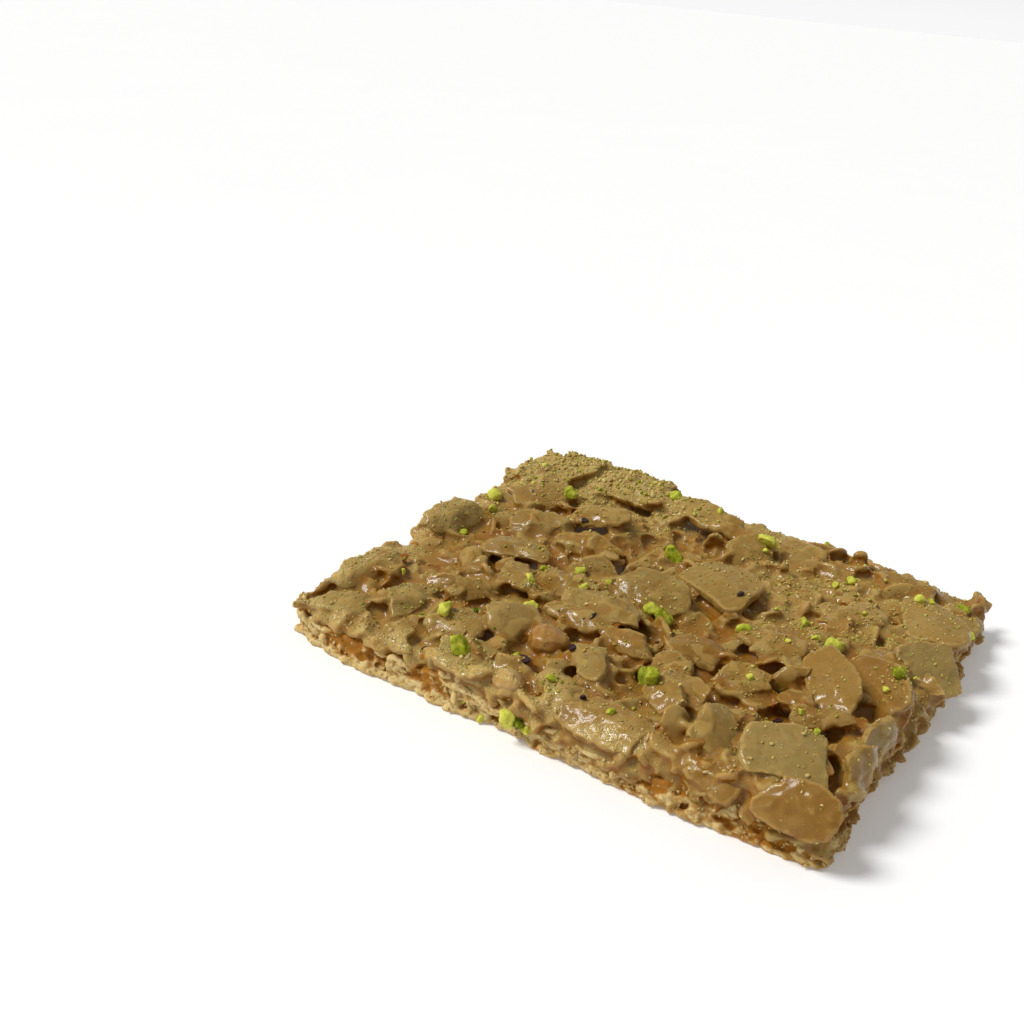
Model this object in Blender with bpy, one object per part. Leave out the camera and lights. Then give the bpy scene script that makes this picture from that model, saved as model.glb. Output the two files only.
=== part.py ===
"""A square of nut brittle: a flaky pastry sheet under caramel set full of sliced almonds.

The slab stands on its flat underside.  X runs along its near edge, Y goes away from it and Z is up.
Sizes are in millimetres until a mesh is made, and the finished slab has its origin in the middle of
its underside.
"""

import math
from dataclasses import dataclass

import bmesh
import bpy
from mathutils import Matrix, Vector
from mathutils.bvhtree import BVHTree

MM = 0.001

# The slab
WIDTH = 100.0               # along X
DEPTH = 90.0                # along Y
PASTRY_TOP = 4.2            # thickness of the pastry sheet
GAP = 0.3                   # clearance between pieces that touch

# How its outline, cut with a knife, strays from a rectangle
CORNER_PULL = 0.9           # how far a corner is worn in
CORNER_SHARPNESS = 10       # the power that keeps the wear at the corner
NEAR_BOW = 2.4              # the near side bulges most a little right of its middle
NEAR_BOW_MIDDLE = 0.45
NEAR_BOW_REACH = 2.2
LEFT_HOLLOW = 1.8           # the left side is hollow near its middle
LEFT_HOLLOW_MIDDLE = -0.25
LEFT_HOLLOW_REACH = 0.45
RIGHT_BOW = 1.1             # the right side widens from here on
RIGHT_BOW_START = -0.6
RIGHT_BOW_RUN = 1.2
RIGHT_PHASE, LEFT_PHASE, FAR_PHASE, NEAR_PHASE = 0.4, 1.9, 3.1, 5.2
RIPPLES = ((0.55, 0.11, 1.0), (0.38, 0.31, 2.3), (0.26, 0.83, 4.1))  # depth, pace, share of the phase

# Height of the caramel between the flakes, at the slab's four corners
NEAR_LEFT = 5.6
NEAR_RIGHT = 10.2
FAR_RIGHT = 6.6
FAR_LEFT = 10.4
CARAMEL_MIN = 5.3           # the thinnest the caramel gets, measured from the underside
SWELL = 0.35                # height of the gentle waves that lie square to the slab
SWELL_PACE = (0.33, 0.29)
SWELL_PHASE = (0.7, 0.4)
CROSS_SWELL = 0.30          # and of those that run across it
CROSS_SWELL_PACE = (0.61, -0.47)
LAYER_INSET = 0.6           # how far the caramel stays inside the pastry
LAYER_PHASE = 2.4
WAIST_SHARE = (0.985, 0.983)     # the caramel's side is hollow halfway up
FOOT_SHARE = (0.994, 0.993)      # and meets the pastry here, as a share of its rim

# How finely the two sheets are divided
LAYER_COLUMNS = 20
LAYER_ROWS = 18
RIM_STEPS = 20              # points along each side of the pastry

# The flakes
FLAKE_THICKNESS = 1.4
FLAKE_STATIONS = 6          # cross-sections along a flake
BLUNT_END = 0.22            # width left at a flake's pointed end
WAVER = 0.07                # how unevenly wide a flake is
WAVER_PACE = 5.0
EDGE_THINNING = 0.3         # how much thinner a flake is at its edge
FLAT_ANGLE = math.radians(1.0)   # faces closer to flat than this become one

# The rounded nuts
NUT_RINGS = 6
NUT_SPOKES = 10
NUT_BLUNTNESS = 0.6         # how large the ring at each end is, in ring steps
NUT_TAPER = 0.18            # how much slimmer the far end is
NUT_UNEVENNESS = (0.06, 0.04)    # of the two-lobed and the three-lobed kind


@dataclass(frozen=True)
class Leaf:
    """A level in the side of the pastry, with how far its edge stands out."""

    height: float
    spread: float
    phase: float


@dataclass(frozen=True)
class Bump:
    """A hill, or with a negative height a hollow, in the caramel."""

    x: float
    y: float
    radius: float
    height: float


@dataclass(frozen=True)
class Flake:
    """A slice of almond, by the middle of it and the way it leans.

    heading turns its length from +X, climb lifts its far end and lean lifts its left side, all in
    degrees.  bend arches it along its length and dome across it, in millimetres.  A high squareness
    makes it a broken rectangle, and near_cut and far_cut say how much of each end is snapped off.
    """

    x: float
    y: float
    z: float
    length: float
    width: float
    heading: float = 0.0
    climb: float = 0.0
    lean: float = 0.0
    bend: float = 0.6
    dome: float = 0.4
    squareness: float = 2.2
    near_cut: float = 0.0
    far_cut: float = 0.0


@dataclass(frozen=True)
class Nut:
    """A rounded piece of almond."""

    x: float
    y: float
    z: float
    length: float
    width: float
    height: float
    heading: float = 0.0
    climb: float = 0.0


LEAVES = (
    Leaf(0.0, -0.3, 0.0),
    Leaf(1.1, 0.4, 0.0),
    Leaf(1.5, -0.4, 0.7),
    Leaf(2.5, 0.3, 0.7),
    Leaf(2.9, -0.6, 1.6),
    Leaf(PASTRY_TOP, 0.0, 1.6),
)

HILLS = (
    Bump(-40, 36, 12, 1.4),
    Bump(-22, 36, 10, 1.0),
    Bump(0, 34, 8, 0.8),
    Bump(38, -12, 9, 1.0),
    Bump(-2, -17, 9, 0.8),
)

HOLLOWS = (
    Bump(-24.5, -25.5, 4.2, -3.6),
    Bump(-38.5, -18.5, 4.0, -3.0),
    Bump(-41.0, -29.0, 3.2, -2.0),
    Bump(-38.0, -3.0, 3.0, -1.8),
    Bump(-7.0, 24.5, 4.0, -3.6),
    Bump(3.0, 30.5, 3.4, -3.8),
    Bump(-20.5, 27.0, 3.0, -2.4),
    Bump(-14.5, 10.5, 3.0, -1.8),
    Bump(-8.0, -1.0, 3.2, -2.2),
    Bump(35.5, -18.5, 3.6, -3.6),
    Bump(36.0, -38.5, 3.0, -3.4),
    Bump(12.5, -28.0, 3.0, -2.4),
    Bump(22.0, -28.5, 2.8, -2.4),
    Bump(44.0, 8.5, 3.0, -2.0),
    Bump(13.5, -5.0, 3.0, -1.6),
)

FLAKES = (
    # Near right corner, the thick one
    Flake(40.8, -40.2, 11.9, 14, 10.5, heading=26, lean=22, squareness=3.4, bend=0.2, dome=0.1, far_cut=0.3),
    Flake(44.4, -45.6, 8.2, 13, 7.5, heading=4, lean=56, squareness=3, near_cut=0.15),
    Flake(32.6, -45.8, 6.8, 10, 5.4, heading=-2, lean=36, squareness=3, far_cut=0.2),
    Flake(27.4, -39.4, 9.2, 11.5, 10, heading=-62, climb=-14, lean=-12, bend=1.4, dome=1.3),
    Flake(48.6, -34.0, 10.4, 13, 6.5, heading=84, lean=74, squareness=3),
    Flake(48.8, -22.6, 9.2, 12, 7.0, heading=78, lean=66),
    Flake(40.8, -27.2, 11.0, 11, 4.4, heading=22, lean=24, squareness=3),
    # Under the tent
    Flake(38.6, -16.0, 11.4, 16, 8.5, heading=-42, climb=-10, lean=32, squareness=3, near_cut=0.2),
    Flake(32.8, -16.6, 10.8, 11, 5.0, heading=32, climb=10, lean=52, squareness=3, bend=0.3),
    Flake(36.4, -22.6, 9.6, 9, 5.0, heading=-16, lean=30, bend=1.4),
    Flake(44.8, -8.4, 8.8, 18, 10, heading=-52, lean=42, bend=1.4, dome=1.0),
    Flake(41.6, 0.4, 8.6, 12.5, 7, heading=-30, lean=12, dome=0.9),
    # Middle of the near edge
    Flake(14.2, -44.8, 7.4, 19, 7.4, heading=-3, lean=24, squareness=2.6, dome=0.9),
    Flake(18.8, -35.4, 10.2, 7.5, 6.0, heading=-22, lean=30, squareness=4, bend=0.2, dome=0.1),
    Flake(22.2, -30.2, 9.8, 8, 4.8, heading=-34, climb=6, lean=56, squareness=3, far_cut=0.3),
    Flake(5.4, -33.8, 9.8, 11, 5.6, heading=-44, climb=-6, lean=14, squareness=3, dome=0.8),
    Flake(15.4, -27.0, 9.8, 7.6, 6.4, heading=-30, lean=34, squareness=4, bend=0.2),
    Flake(6.6, -24.0, 9.2, 13, 6.2, heading=4, lean=26, bend=1.0),
    Flake(16.2, -19.0, 9.6, 13, 8, heading=18, lean=14, dome=0.8),
    Flake(25.4, -22.4, 10.0, 13, 5.6, heading=12, lean=20, squareness=3),
    # Near left quarter
    Flake(-13.6, -42.8, 7.6, 19, 9.0, heading=-3, lean=16, squareness=2.6, dome=0.8),
    Flake(-20.0, -36.2, 8.8, 11.5, 9.0, heading=8, lean=24, dome=1.0),
    Flake(-12.4, -31.2, 9.3, 13.5, 10.5, heading=24, lean=26, dome=1.3, bend=1.0),
    Flake(-4.0, -22.6, 9.8, 12.5, 4.4, heading=-6, lean=36, squareness=3, bend=0.4),
    Flake(-2.6, -16.6, 10.4, 17.5, 8.8, heading=-8, lean=10, squareness=2.6, dome=0.8),
    Flake(-11.2, -12.6, 9.6, 14, 8.0, heading=4, lean=14, dome=0.8),
    Flake(-27.6, -22.6, 7.4, 16.5, 6.0, heading=34, climb=2, lean=48, bend=1.3),
    Flake(-33.4, -33.4, 6.6, 14, 7.5, heading=72, climb=4, lean=24, bend=0.8, dome=0.8),
    Flake(-41.6, -40.4, 6.5, 13, 8.0, heading=14, lean=10, squareness=3),
    Flake(-45.4, -27.0, 7.0, 23, 7.4, heading=86, climb=3, lean=8, bend=0.6, dome=0.8),
    Flake(-25.6, -44.0, 6.9, 9, 6, heading=-12, lean=18, squareness=3, near_cut=0.2),
    # Left of the middle
    Flake(-20.8, -15.0, 9.2, 13, 6.8, heading=-22, lean=24, dome=0.9),
    Flake(-31.6, -13.8, 8.6, 12, 5.0, heading=-48, lean=26, squareness=3),
    Flake(-27.4, -6.4, 9.2, 15, 8.4, heading=4, lean=24, dome=1.0),
    Flake(-45.8, -1.6, 8.8, 16, 7.6, heading=78, lean=34, bend=1.8, dome=0.8),
    Flake(-30.0, 6.4, 9.4, 13, 7.8, heading=16, lean=42, dome=0.9),
    Flake(-11.0, -2.0, 9.6, 9, 7, heading=22, lean=42, squareness=3, bend=0.4),
    Flake(-16.8, 5.4, 9.6, 15, 6.0, heading=6, lean=20, bend=0.8),
    Flake(1.4, -4.2, 9.7, 14.5, 10.5, heading=2, lean=34, dome=1.3),
    # Far left hill
    Flake(-22.4, 16.6, 10.6, 14.5, 10.5, heading=10, lean=24, dome=1.1),
    Flake(-37.8, 19.4, 10.2, 14, 8, heading=24, lean=24, squareness=3, dome=0.8),
    Flake(-40.6, 31.6, 11.9, 20, 13, heading=38, climb=4, lean=8, squareness=2.2, dome=1.2),
    Flake(-23.2, 35.0, 10.8, 24, 12, heading=-2, climb=-3, lean=12, squareness=2.8, dome=0.9),
    # Far edge
    Flake(-4.2, 32.0, 10.2, 22, 8.0, heading=-10, climb=-4, lean=28, bend=1.4),
    Flake(0.4, 23.6, 9.4, 7.5, 3.6, heading=-60, climb=72, squareness=3, bend=0.3),
    Flake(7.8, 27.4, 9.2, 11, 7.5, heading=56, climb=6, lean=34, squareness=3),
    Flake(13.6, 35.6, 8.0, 15, 8, heading=-22, lean=22, squareness=2.8),
    Flake(23.6, 33.6, 7.6, 14, 7, heading=-16, lean=22, squareness=3),
    Flake(25.2, 40.6, 7.2, 7.5, 4.0, heading=-70, climb=68, squareness=2.0, bend=0.3),
    Flake(37.0, 34.4, 6.9, 17, 9, heading=-20, lean=8, squareness=2.6, dome=0.9),
    # Right of the middle
    Flake(9.8, 7.2, 9.4, 18.5, 13.5, heading=-22, lean=8, squareness=2.6, dome=0.8),
    Flake(25.8, -7.4, 9.5, 11.5, 9.0, heading=2, lean=14, squareness=2.8, dome=0.8),
    Flake(31.8, 14.2, 8.6, 17, 5.4, heading=26, lean=24, bend=0.6),
    Flake(45.0, 21.6, 8.4, 17, 11.5, heading=-52, lean=6, squareness=2.6, dome=0.9),
    Flake(48.8, 5.0, 8.6, 13, 9.5, heading=48, climb=-4, lean=46, squareness=4, bend=0.4, dome=0.2),
)

NUTS = (
    Nut(-4.6, -31.0, 9.3, 8.2, 7.4, 6.6, heading=20),
    Nut(-3.2, -45.0, 7.9, 7.4, 6.0, 7.0, heading=-30, climb=30),
    Nut(4.2, -41.4, 8.2, 12.0, 8.4, 5.6, heading=-24),
)


def smooth_step(value):
    """Run from 0 to 1 with flat ends."""
    value = min(max(value, 0.0), 1.0)
    return value * value * (3.0 - 2.0 * value)


def ripple(position, phase):
    """Give the ragged line of a side that was cut with a knife, in millimetres."""
    return sum(depth * math.sin(pace * position + share * phase) for depth, pace, share in RIPPLES)


def slab_point(across, away, spread, phase):
    """Find the place in the slab of a point of the unit square.

    across and away run from -1 to 1, spread moves the rim outwards, and phase picks the raggedness.
    """
    x = across * WIDTH / 2
    y = away * DEPTH / 2
    near_bow = NEAR_BOW * (1.0 - (across - NEAR_BOW_MIDDLE) ** 2 / NEAR_BOW_REACH)
    left_hollow = -LEFT_HOLLOW * math.exp(-((away - LEFT_HOLLOW_MIDDLE) / LEFT_HOLLOW_REACH) ** 2)
    right_bow = RIGHT_BOW * smooth_step((away - RIGHT_BOW_START) / RIGHT_BOW_RUN)
    right = (1.0 + across) / 2 * (right_bow + ripple(y, phase + RIGHT_PHASE) + spread)
    left = (1.0 - across) / 2 * (left_hollow + ripple(y, phase + LEFT_PHASE) + spread)
    far = (1.0 + away) / 2 * (ripple(x, phase + FAR_PHASE) + spread)
    near = (1.0 - away) / 2 * (near_bow + ripple(x, phase + NEAR_PHASE) + spread)
    pull = CORNER_PULL * (across * away) ** CORNER_SHARPNESS
    x += right - left - math.copysign(pull, across)
    y += far - near - math.copysign(pull, away)
    return x, y


def caramel_height(x, y):
    """Give the height of the caramel between the flakes at a place in the slab."""
    across = x / WIDTH + 0.5
    away = y / DEPTH + 0.5
    near = NEAR_LEFT + (NEAR_RIGHT - NEAR_LEFT) * across
    far = FAR_LEFT + (FAR_RIGHT - FAR_LEFT) * across
    height = near + (far - near) * away
    height += (SWELL * math.sin(SWELL_PACE[0] * x + SWELL_PHASE[0])
               * math.cos(SWELL_PACE[1] * y + SWELL_PHASE[1]))
    height += CROSS_SWELL * math.sin(CROSS_SWELL_PACE[0] * x + CROSS_SWELL_PACE[1] * y)
    for bump in HILLS + HOLLOWS:
        distance = math.hypot(x - bump.x, y - bump.y)
        height += bump.height * math.exp(-(distance / bump.radius) ** 2)
    return max(height, CARAMEL_MIN)


def make_object(name, shell, material):
    """Make a named object from a bmesh that is measured in millimetres."""
    bmesh.ops.recalc_face_normals(shell, faces=shell.faces)
    bmesh.ops.triangulate(shell, faces=shell.faces)
    bmesh.ops.scale(shell, vec=(MM, MM, MM), verts=shell.verts)
    mesh = bpy.data.meshes.new(name)
    shell.to_mesh(mesh)
    shell.free()
    mesh.materials.append(material)
    thing = bpy.data.objects.new(name, mesh)
    bpy.context.collection.objects.link(thing)
    return thing


def make_material(name, colour, roughness):
    """Make a plain finish from a linear colour and a roughness."""
    material = bpy.data.materials.new(name)
    material.use_nodes = True
    shader = material.node_tree.nodes["Principled BSDF"]
    shader.inputs["Base Color"].default_value = (*colour, 1.0)
    shader.inputs["Roughness"].default_value = roughness
    shader.inputs["Metallic"].default_value = 0.0
    return material


def bridge_rings(shell, rings):
    """Join a run of rings of the same number of corners with faces, and cap both ends."""
    count = len(rings[0])
    for lower, upper in zip(rings, rings[1:]):
        for index in range(count):
            following = (index + 1) % count
            shell.faces.new((lower[index], lower[following], upper[following], upper[index]))
    shell.faces.new(list(reversed(rings[0])))
    shell.faces.new(rings[-1])


def rim_places(steps):
    """Walk once round the rim of the unit square, counter-clockwise."""
    sides = (((-1, -1), (1, -1)), ((1, -1), (1, 1)), ((1, 1), (-1, 1)), ((-1, 1), (-1, -1)))
    for (start_across, start_away), (end_across, end_away) in sides:
        for step in range(steps):
            part = step / steps
            yield (start_across + (end_across - start_across) * part,
                   start_away + (end_away - start_away) * part)


def make_pastry(material):
    """Make the pastry sheet, whose side steps in and out where its leaves end."""
    shell = bmesh.new()
    rings = []
    for leaf in LEAVES:
        ring = []
        for across, away in rim_places(RIM_STEPS):
            x, y = slab_point(across, away, leaf.spread, leaf.phase)
            ring.append(shell.verts.new((x, y, leaf.height)))
        rings.append(ring)
    bridge_rings(shell, rings)
    return make_object("pastry_base", shell, material)


def make_layer(material):
    """Make the sheet of caramel, up to its surface between the flakes."""
    floor = PASTRY_TOP + GAP
    shell = bmesh.new()
    top = []
    for row in range(LAYER_ROWS + 1):
        line = []
        for column in range(LAYER_COLUMNS + 1):
            across = 2 * column / LAYER_COLUMNS - 1
            away = 2 * row / LAYER_ROWS - 1
            x, y = slab_point(across, away, -LAYER_INSET, LAYER_PHASE)
            line.append(shell.verts.new((x, y, caramel_height(x, y))))
        top.append(line)
    for row in range(LAYER_ROWS):
        for column in range(LAYER_COLUMNS):
            shell.faces.new((top[row][column], top[row][column + 1],
                             top[row + 1][column + 1], top[row + 1][column]))
    rim = [top[0][column] for column in range(LAYER_COLUMNS)]
    rim += [top[row][-1] for row in range(LAYER_ROWS)]
    rim += [top[-1][column] for column in range(LAYER_COLUMNS, 0, -1)]
    rim += [top[row][0] for row in range(LAYER_ROWS, 0, -1)]
    waist = []
    foot = []
    for corner in rim:
        x, y, z = corner.co
        waist.append(shell.verts.new((x * WAIST_SHARE[0], y * WAIST_SHARE[1], (z + floor) / 2)))
        foot.append(shell.verts.new((x * FOOT_SHARE[0], y * FOOT_SHARE[1], floor)))
    for lower, upper in ((foot, waist), (waist, rim)):
        for index in range(len(rim)):
            following = (index + 1) % len(rim)
            shell.faces.new((lower[index], lower[following], upper[following], upper[index]))
    shell.faces.new(list(reversed(foot)))
    return make_object("caramel_nut_layer", shell, material)


def flake_section(flake, along, grow):
    """Give the corners of one cross-section of a flake, from its lower left round to its upper left."""
    outline = (1.0 - abs(along) ** flake.squareness) ** (1.0 / flake.squareness)
    waver = 1.0 + WAVER * math.sin(WAVER_PACE * along + flake.x) * (1.0 - abs(along))
    half_width = flake.width / 2 * max(outline, BLUNT_END) * waver
    x = along * (flake.length / 2)
    arch = flake.bend * (1.0 - along * along)
    corners = []
    for side, across in ((-1, -1.0), (-1, 0.0), (-1, 1.0), (1, 1.0), (1, 0.0), (1, -1.0)):
        y = across * half_width
        crown = arch + flake.dome * (1.0 - (2.0 * y / flake.width) ** 2)
        thickness = FLAKE_THICKNESS / 2 * (1.0 - EDGE_THINNING * abs(across))
        corners.append(Vector((x, y + across * grow, crown + side * (thickness + grow))))
    return corners


def make_flake(name, flake, material, grow=0.0):
    """Make a slice of almond, or with grow the pocket that it sits in."""
    first = -1.0 + flake.near_cut
    last = 1.0 - flake.far_cut
    shell = bmesh.new()
    rings = []
    for station in range(FLAKE_STATIONS):
        part = 0.5 - 0.5 * math.cos(math.pi * station / (FLAKE_STATIONS - 1))
        along = first + (last - first) * part
        push = grow * (2.0 * part - 1.0)
        ring = []
        for corner in flake_section(flake, along, grow):
            ring.append(shell.verts.new((corner.x + push, corner.y, corner.z)))
        rings.append(ring)
    bridge_rings(shell, rings)
    thing = make_object(name, shell, material)
    place(thing, flake, flake.lean)
    return thing


def make_nut(name, nut, material, grow=0.0):
    """Make a rounded piece of almond, narrower at one end, or with grow its pocket."""
    shell = bmesh.new()
    rings = []
    for ring_index in range(NUT_RINGS):
        angle = math.pi * (ring_index + NUT_BLUNTNESS) / (NUT_RINGS - 1 + 2 * NUT_BLUNTNESS)
        along = -math.cos(angle)
        girth = math.sin(angle) * (1.0 - NUT_TAPER * along)
        ring = []
        for spoke in range(NUT_SPOKES):
            turn = 2 * math.pi * spoke / NUT_SPOKES
            uneven = (1.0 + NUT_UNEVENNESS[0] * math.sin(2 * turn + nut.x)
                      + NUT_UNEVENNESS[1] * math.sin(3 * turn + along))
            ring.append(shell.verts.new((along * (nut.length / 2 + grow),
                                         math.cos(turn) * girth * uneven * (nut.width / 2 + grow),
                                         math.sin(turn) * girth * uneven * (nut.height / 2 + grow))))
        rings.append(ring)
    bridge_rings(shell, rings)
    thing = make_object(name, shell, material)
    place(thing, nut, 0.0)
    for face in thing.data.polygons:
        face.use_smooth = True
    return thing


def place(thing, spec, lean):
    """Put a piece where its specification says, turned by its heading, climb and lean."""
    turn = (Matrix.Rotation(math.radians(spec.heading), 4, "Z")
            @ Matrix.Rotation(math.radians(-spec.climb), 4, "Y")
            @ Matrix.Rotation(math.radians(lean), 4, "X"))
    thing.location = Vector((spec.x, spec.y, spec.z)) * MM
    thing.rotation_euler = turn.to_euler()


def world_tree(thing):
    """Make a search tree of a piece's faces where it stands."""
    turn = thing.matrix_world
    corners = [turn @ corner.co for corner in thing.data.vertices]
    faces = [tuple(face.vertices) for face in thing.data.polygons]
    return BVHTree.FromPolygons(corners, faces)


def keep_largest_body(thing):
    """Delete all but the largest of the closed bodies that a cut has left."""
    shell = bmesh.new()
    shell.from_mesh(thing.data)
    bmesh.ops.triangulate(shell, faces=shell.faces)
    waiting = set(shell.faces)
    bodies = []
    while waiting:
        front = [waiting.pop()]
        body = list(front)
        while front:
            face = front.pop()
            neighbours = {near for edge in face.edges for near in edge.link_faces} & waiting
            waiting -= neighbours
            front.extend(neighbours)
            body.extend(neighbours)
        bodies.append(body)
    bodies.sort(key=lambda body: sum(face.calc_area() for face in body), reverse=True)
    spare = [face for body in bodies[1:] for face in body]
    bmesh.ops.delete(shell, geom=spare, context="FACES")
    bmesh.ops.dissolve_limit(shell, angle_limit=FLAT_ANGLE, verts=shell.verts, edges=shell.edges)
    bmesh.ops.triangulate(shell, faces=shell.faces)
    shell.to_mesh(thing.data)
    shell.free()


def cut_pocket(target, cutter):
    """Take the cutter's space out of the target, if the two meet."""
    if not world_tree(target).overlap(world_tree(cutter)):
        return
    pocket = target.modifiers.new("Pocket", "BOOLEAN")
    pocket.operation = "DIFFERENCE"
    pocket.solver = "EXACT"
    pocket.object = cutter
    depsgraph = bpy.context.evaluated_depsgraph_get()
    cut_mesh = bpy.data.meshes.new_from_object(target.evaluated_get(depsgraph))
    target.modifiers.clear()
    spare = target.data
    target.data = cut_mesh
    bpy.data.meshes.remove(spare)
    keep_largest_body(target)


def stand_at_origin(things):
    """Move the slab so that the middle of its underside is at the origin."""
    bpy.context.view_layer.update()
    corners = [thing.matrix_world @ corner.co for thing in things for corner in thing.data.vertices]
    low = Vector(min(corner[axis] for corner in corners) for axis in range(3))
    high = Vector(max(corner[axis] for corner in corners) for axis in range(3))
    middle = Vector(((low.x + high.x) / 2, (low.y + high.y) / 2, low.z))
    for thing in things:
        thing.location -= middle


def main():
    """Build the slab from its sheets, its flakes and its rounded nuts."""
    for thing in list(bpy.data.objects):
        bpy.data.objects.remove(thing)
    pastry_finish = make_material("pastry", (0.44, 0.29, 0.11), 0.8)
    caramel_finish = make_material("caramel", (0.23, 0.11, 0.02), 0.35)
    almond_finish = make_material("almond", (0.29, 0.18, 0.065), 0.45)
    sheets = [make_pastry(pastry_finish), make_layer(caramel_finish)]
    pieces = []
    makers = [(make_nut, "almond_piece_%02d", NUTS), (make_flake, "almond_flake_%02d", FLAKES)]
    for make, pattern, specs in makers:
        for number, spec in enumerate(specs, start=1):
            piece = make(pattern % number, spec, almond_finish)
            pocket = make("pocket", spec, almond_finish, grow=GAP)
            bpy.context.view_layer.update()
            pieces.append((piece, pocket))
    for order, (piece, _) in enumerate(pieces):
        for _, earlier_pocket in pieces[:order]:
            cut_pocket(piece, earlier_pocket)
    for sheet in sheets:
        for _, pocket in pieces:
            cut_pocket(sheet, pocket)
    for _, pocket in pieces:
        bpy.data.objects.remove(pocket)
    stand_at_origin(sheets + [piece for piece, _ in pieces])


main()
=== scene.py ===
"""Dress a square of nut brittle: pastry leaves, caramel-coated almond slices and chopped pistachio.

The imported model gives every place.  Sizes are in millimetres and become metres through MM.
"""

import logging
import math
from collections.abc import Callable, Sequence
from dataclasses import dataclass, field
from enum import Enum

import bpy
import numpy as np
from mathutils import Euler, Matrix, Quaternion, Vector, noise
from mathutils.bvhtree import BVHTree


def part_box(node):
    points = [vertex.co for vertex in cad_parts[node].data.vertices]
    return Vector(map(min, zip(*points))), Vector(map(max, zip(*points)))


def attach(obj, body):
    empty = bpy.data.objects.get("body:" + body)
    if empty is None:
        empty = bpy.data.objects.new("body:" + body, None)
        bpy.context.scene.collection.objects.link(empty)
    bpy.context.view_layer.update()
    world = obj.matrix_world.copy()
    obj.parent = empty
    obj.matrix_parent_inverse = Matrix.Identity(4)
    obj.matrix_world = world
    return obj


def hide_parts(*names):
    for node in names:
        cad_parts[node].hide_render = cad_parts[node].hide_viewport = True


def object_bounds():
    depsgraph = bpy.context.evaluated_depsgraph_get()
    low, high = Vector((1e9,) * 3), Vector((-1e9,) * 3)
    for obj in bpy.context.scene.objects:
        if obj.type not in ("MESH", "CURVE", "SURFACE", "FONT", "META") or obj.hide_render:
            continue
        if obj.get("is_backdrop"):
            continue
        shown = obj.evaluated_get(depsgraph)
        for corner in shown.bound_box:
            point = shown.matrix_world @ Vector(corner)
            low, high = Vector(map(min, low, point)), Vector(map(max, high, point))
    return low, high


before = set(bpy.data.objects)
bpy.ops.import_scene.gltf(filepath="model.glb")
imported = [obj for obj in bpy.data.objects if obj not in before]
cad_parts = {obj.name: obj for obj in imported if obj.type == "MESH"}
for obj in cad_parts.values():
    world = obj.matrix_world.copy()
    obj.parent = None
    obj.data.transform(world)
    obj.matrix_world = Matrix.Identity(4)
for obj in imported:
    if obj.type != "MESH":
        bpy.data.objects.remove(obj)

LOG = logging.getLogger("nut_brittle")
MM = 0.001
BODY = "root"
CAD_LOW, CAD_HIGH = (Vector(corner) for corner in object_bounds())
HEADROOM = 0.35             # how far loose crumbs may stand above the solids


class Slot(Enum):
    """The material slots that the record names."""

    PASTRY = "pastry"
    CARAMEL = "caramel"
    ALMOND = "almond"
    PISTACHIO = "pistachio"
    CRUMB = "crumb"
    NUT_SKIN = "nut_skin"


class Relief(Enum):
    """The kinds of unevenness that a surface can have."""

    SMOOTH = "smooth"
    RIDGED = "ridged"
    LUMPY = "lumpy"


class Tone(Enum):
    """Where a coated slice lies between golden caramel and bare almond."""

    GOLDEN = 0.12
    TAN = 0.42
    GREY = 0.66
    PALE = 0.92
    PINK = 0.30


TONES: dict[str, Tone] = {
    "almond_flake_01": Tone.PALE,
    "almond_flake_02": Tone.GOLDEN,
    "almond_flake_03": Tone.GOLDEN,
    "almond_flake_04": Tone.GREY,
    "almond_flake_10": Tone.GOLDEN,
    "almond_flake_11": Tone.GOLDEN,
    "almond_flake_13": Tone.GOLDEN,
    "almond_flake_23": Tone.GREY,
    "almond_flake_25": Tone.GREY,
    "almond_flake_39": Tone.GREY,
    "almond_flake_51": Tone.GREY,
    "almond_flake_53": Tone.PINK,
    "almond_flake_55": Tone.PALE,
    "almond_piece_01": Tone.GOLDEN,
    "almond_piece_02": Tone.GOLDEN,
}

BARE = frozenset(
    f"almond_{name}" for name in (
        "flake_01", "flake_02", "flake_03", "flake_08", "flake_11", "flake_13", "flake_14", "flake_51",
        "flake_54", "flake_55", "piece_01", "piece_02",
    )
)


HOLLOWS = (   # x, y, radius and depth in millimetres
    (-22.5, -25.5, 4.0, 1.2),
    (33.0, -24.0, 3.5, 1.1),
    (25.0, -28.0, 3.0, 0.8),
)


@dataclass(frozen=True)
class Grain:
    """One layer of unevenness: how deep it is, and how large its lumps are along each axis."""

    depth: float
    size: tuple[float, float, float]
    relief: Relief = Relief.SMOOTH
    seed: float = 0.0

    def at(self, place: Vector) -> float:
        """Give the height of this layer at a place.

        Args:
            place: A point in metres.

        Returns:
            The height in millimetres, about from minus depth to depth.
        """
        spot = Vector((place.x / self.size[0], place.y / self.size[1], place.z / self.size[2])) / MM
        spot.x += self.seed
        if self.relief is Relief.RIDGED:
            return self.depth * (1.0 - 3.0 * abs(noise.noise(spot)))
        if self.relief is Relief.LUMPY:
            return self.depth * (1.0 - 2.0 * noise.voronoi(spot)[0][0])
        return self.depth * 1.6 * noise.noise(spot)


# ---------------------------------------------------------------------------------------------
# Bench work: small steps that every piece needs
# ---------------------------------------------------------------------------------------------


def select_only(*things: bpy.types.Object) -> None:
    """Select these objects and nothing else, with the first one active."""
    bpy.ops.object.select_all(action="DESELECT")
    for thing in things:
        thing.select_set(True)
    bpy.context.view_layer.objects.active = things[0]


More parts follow.
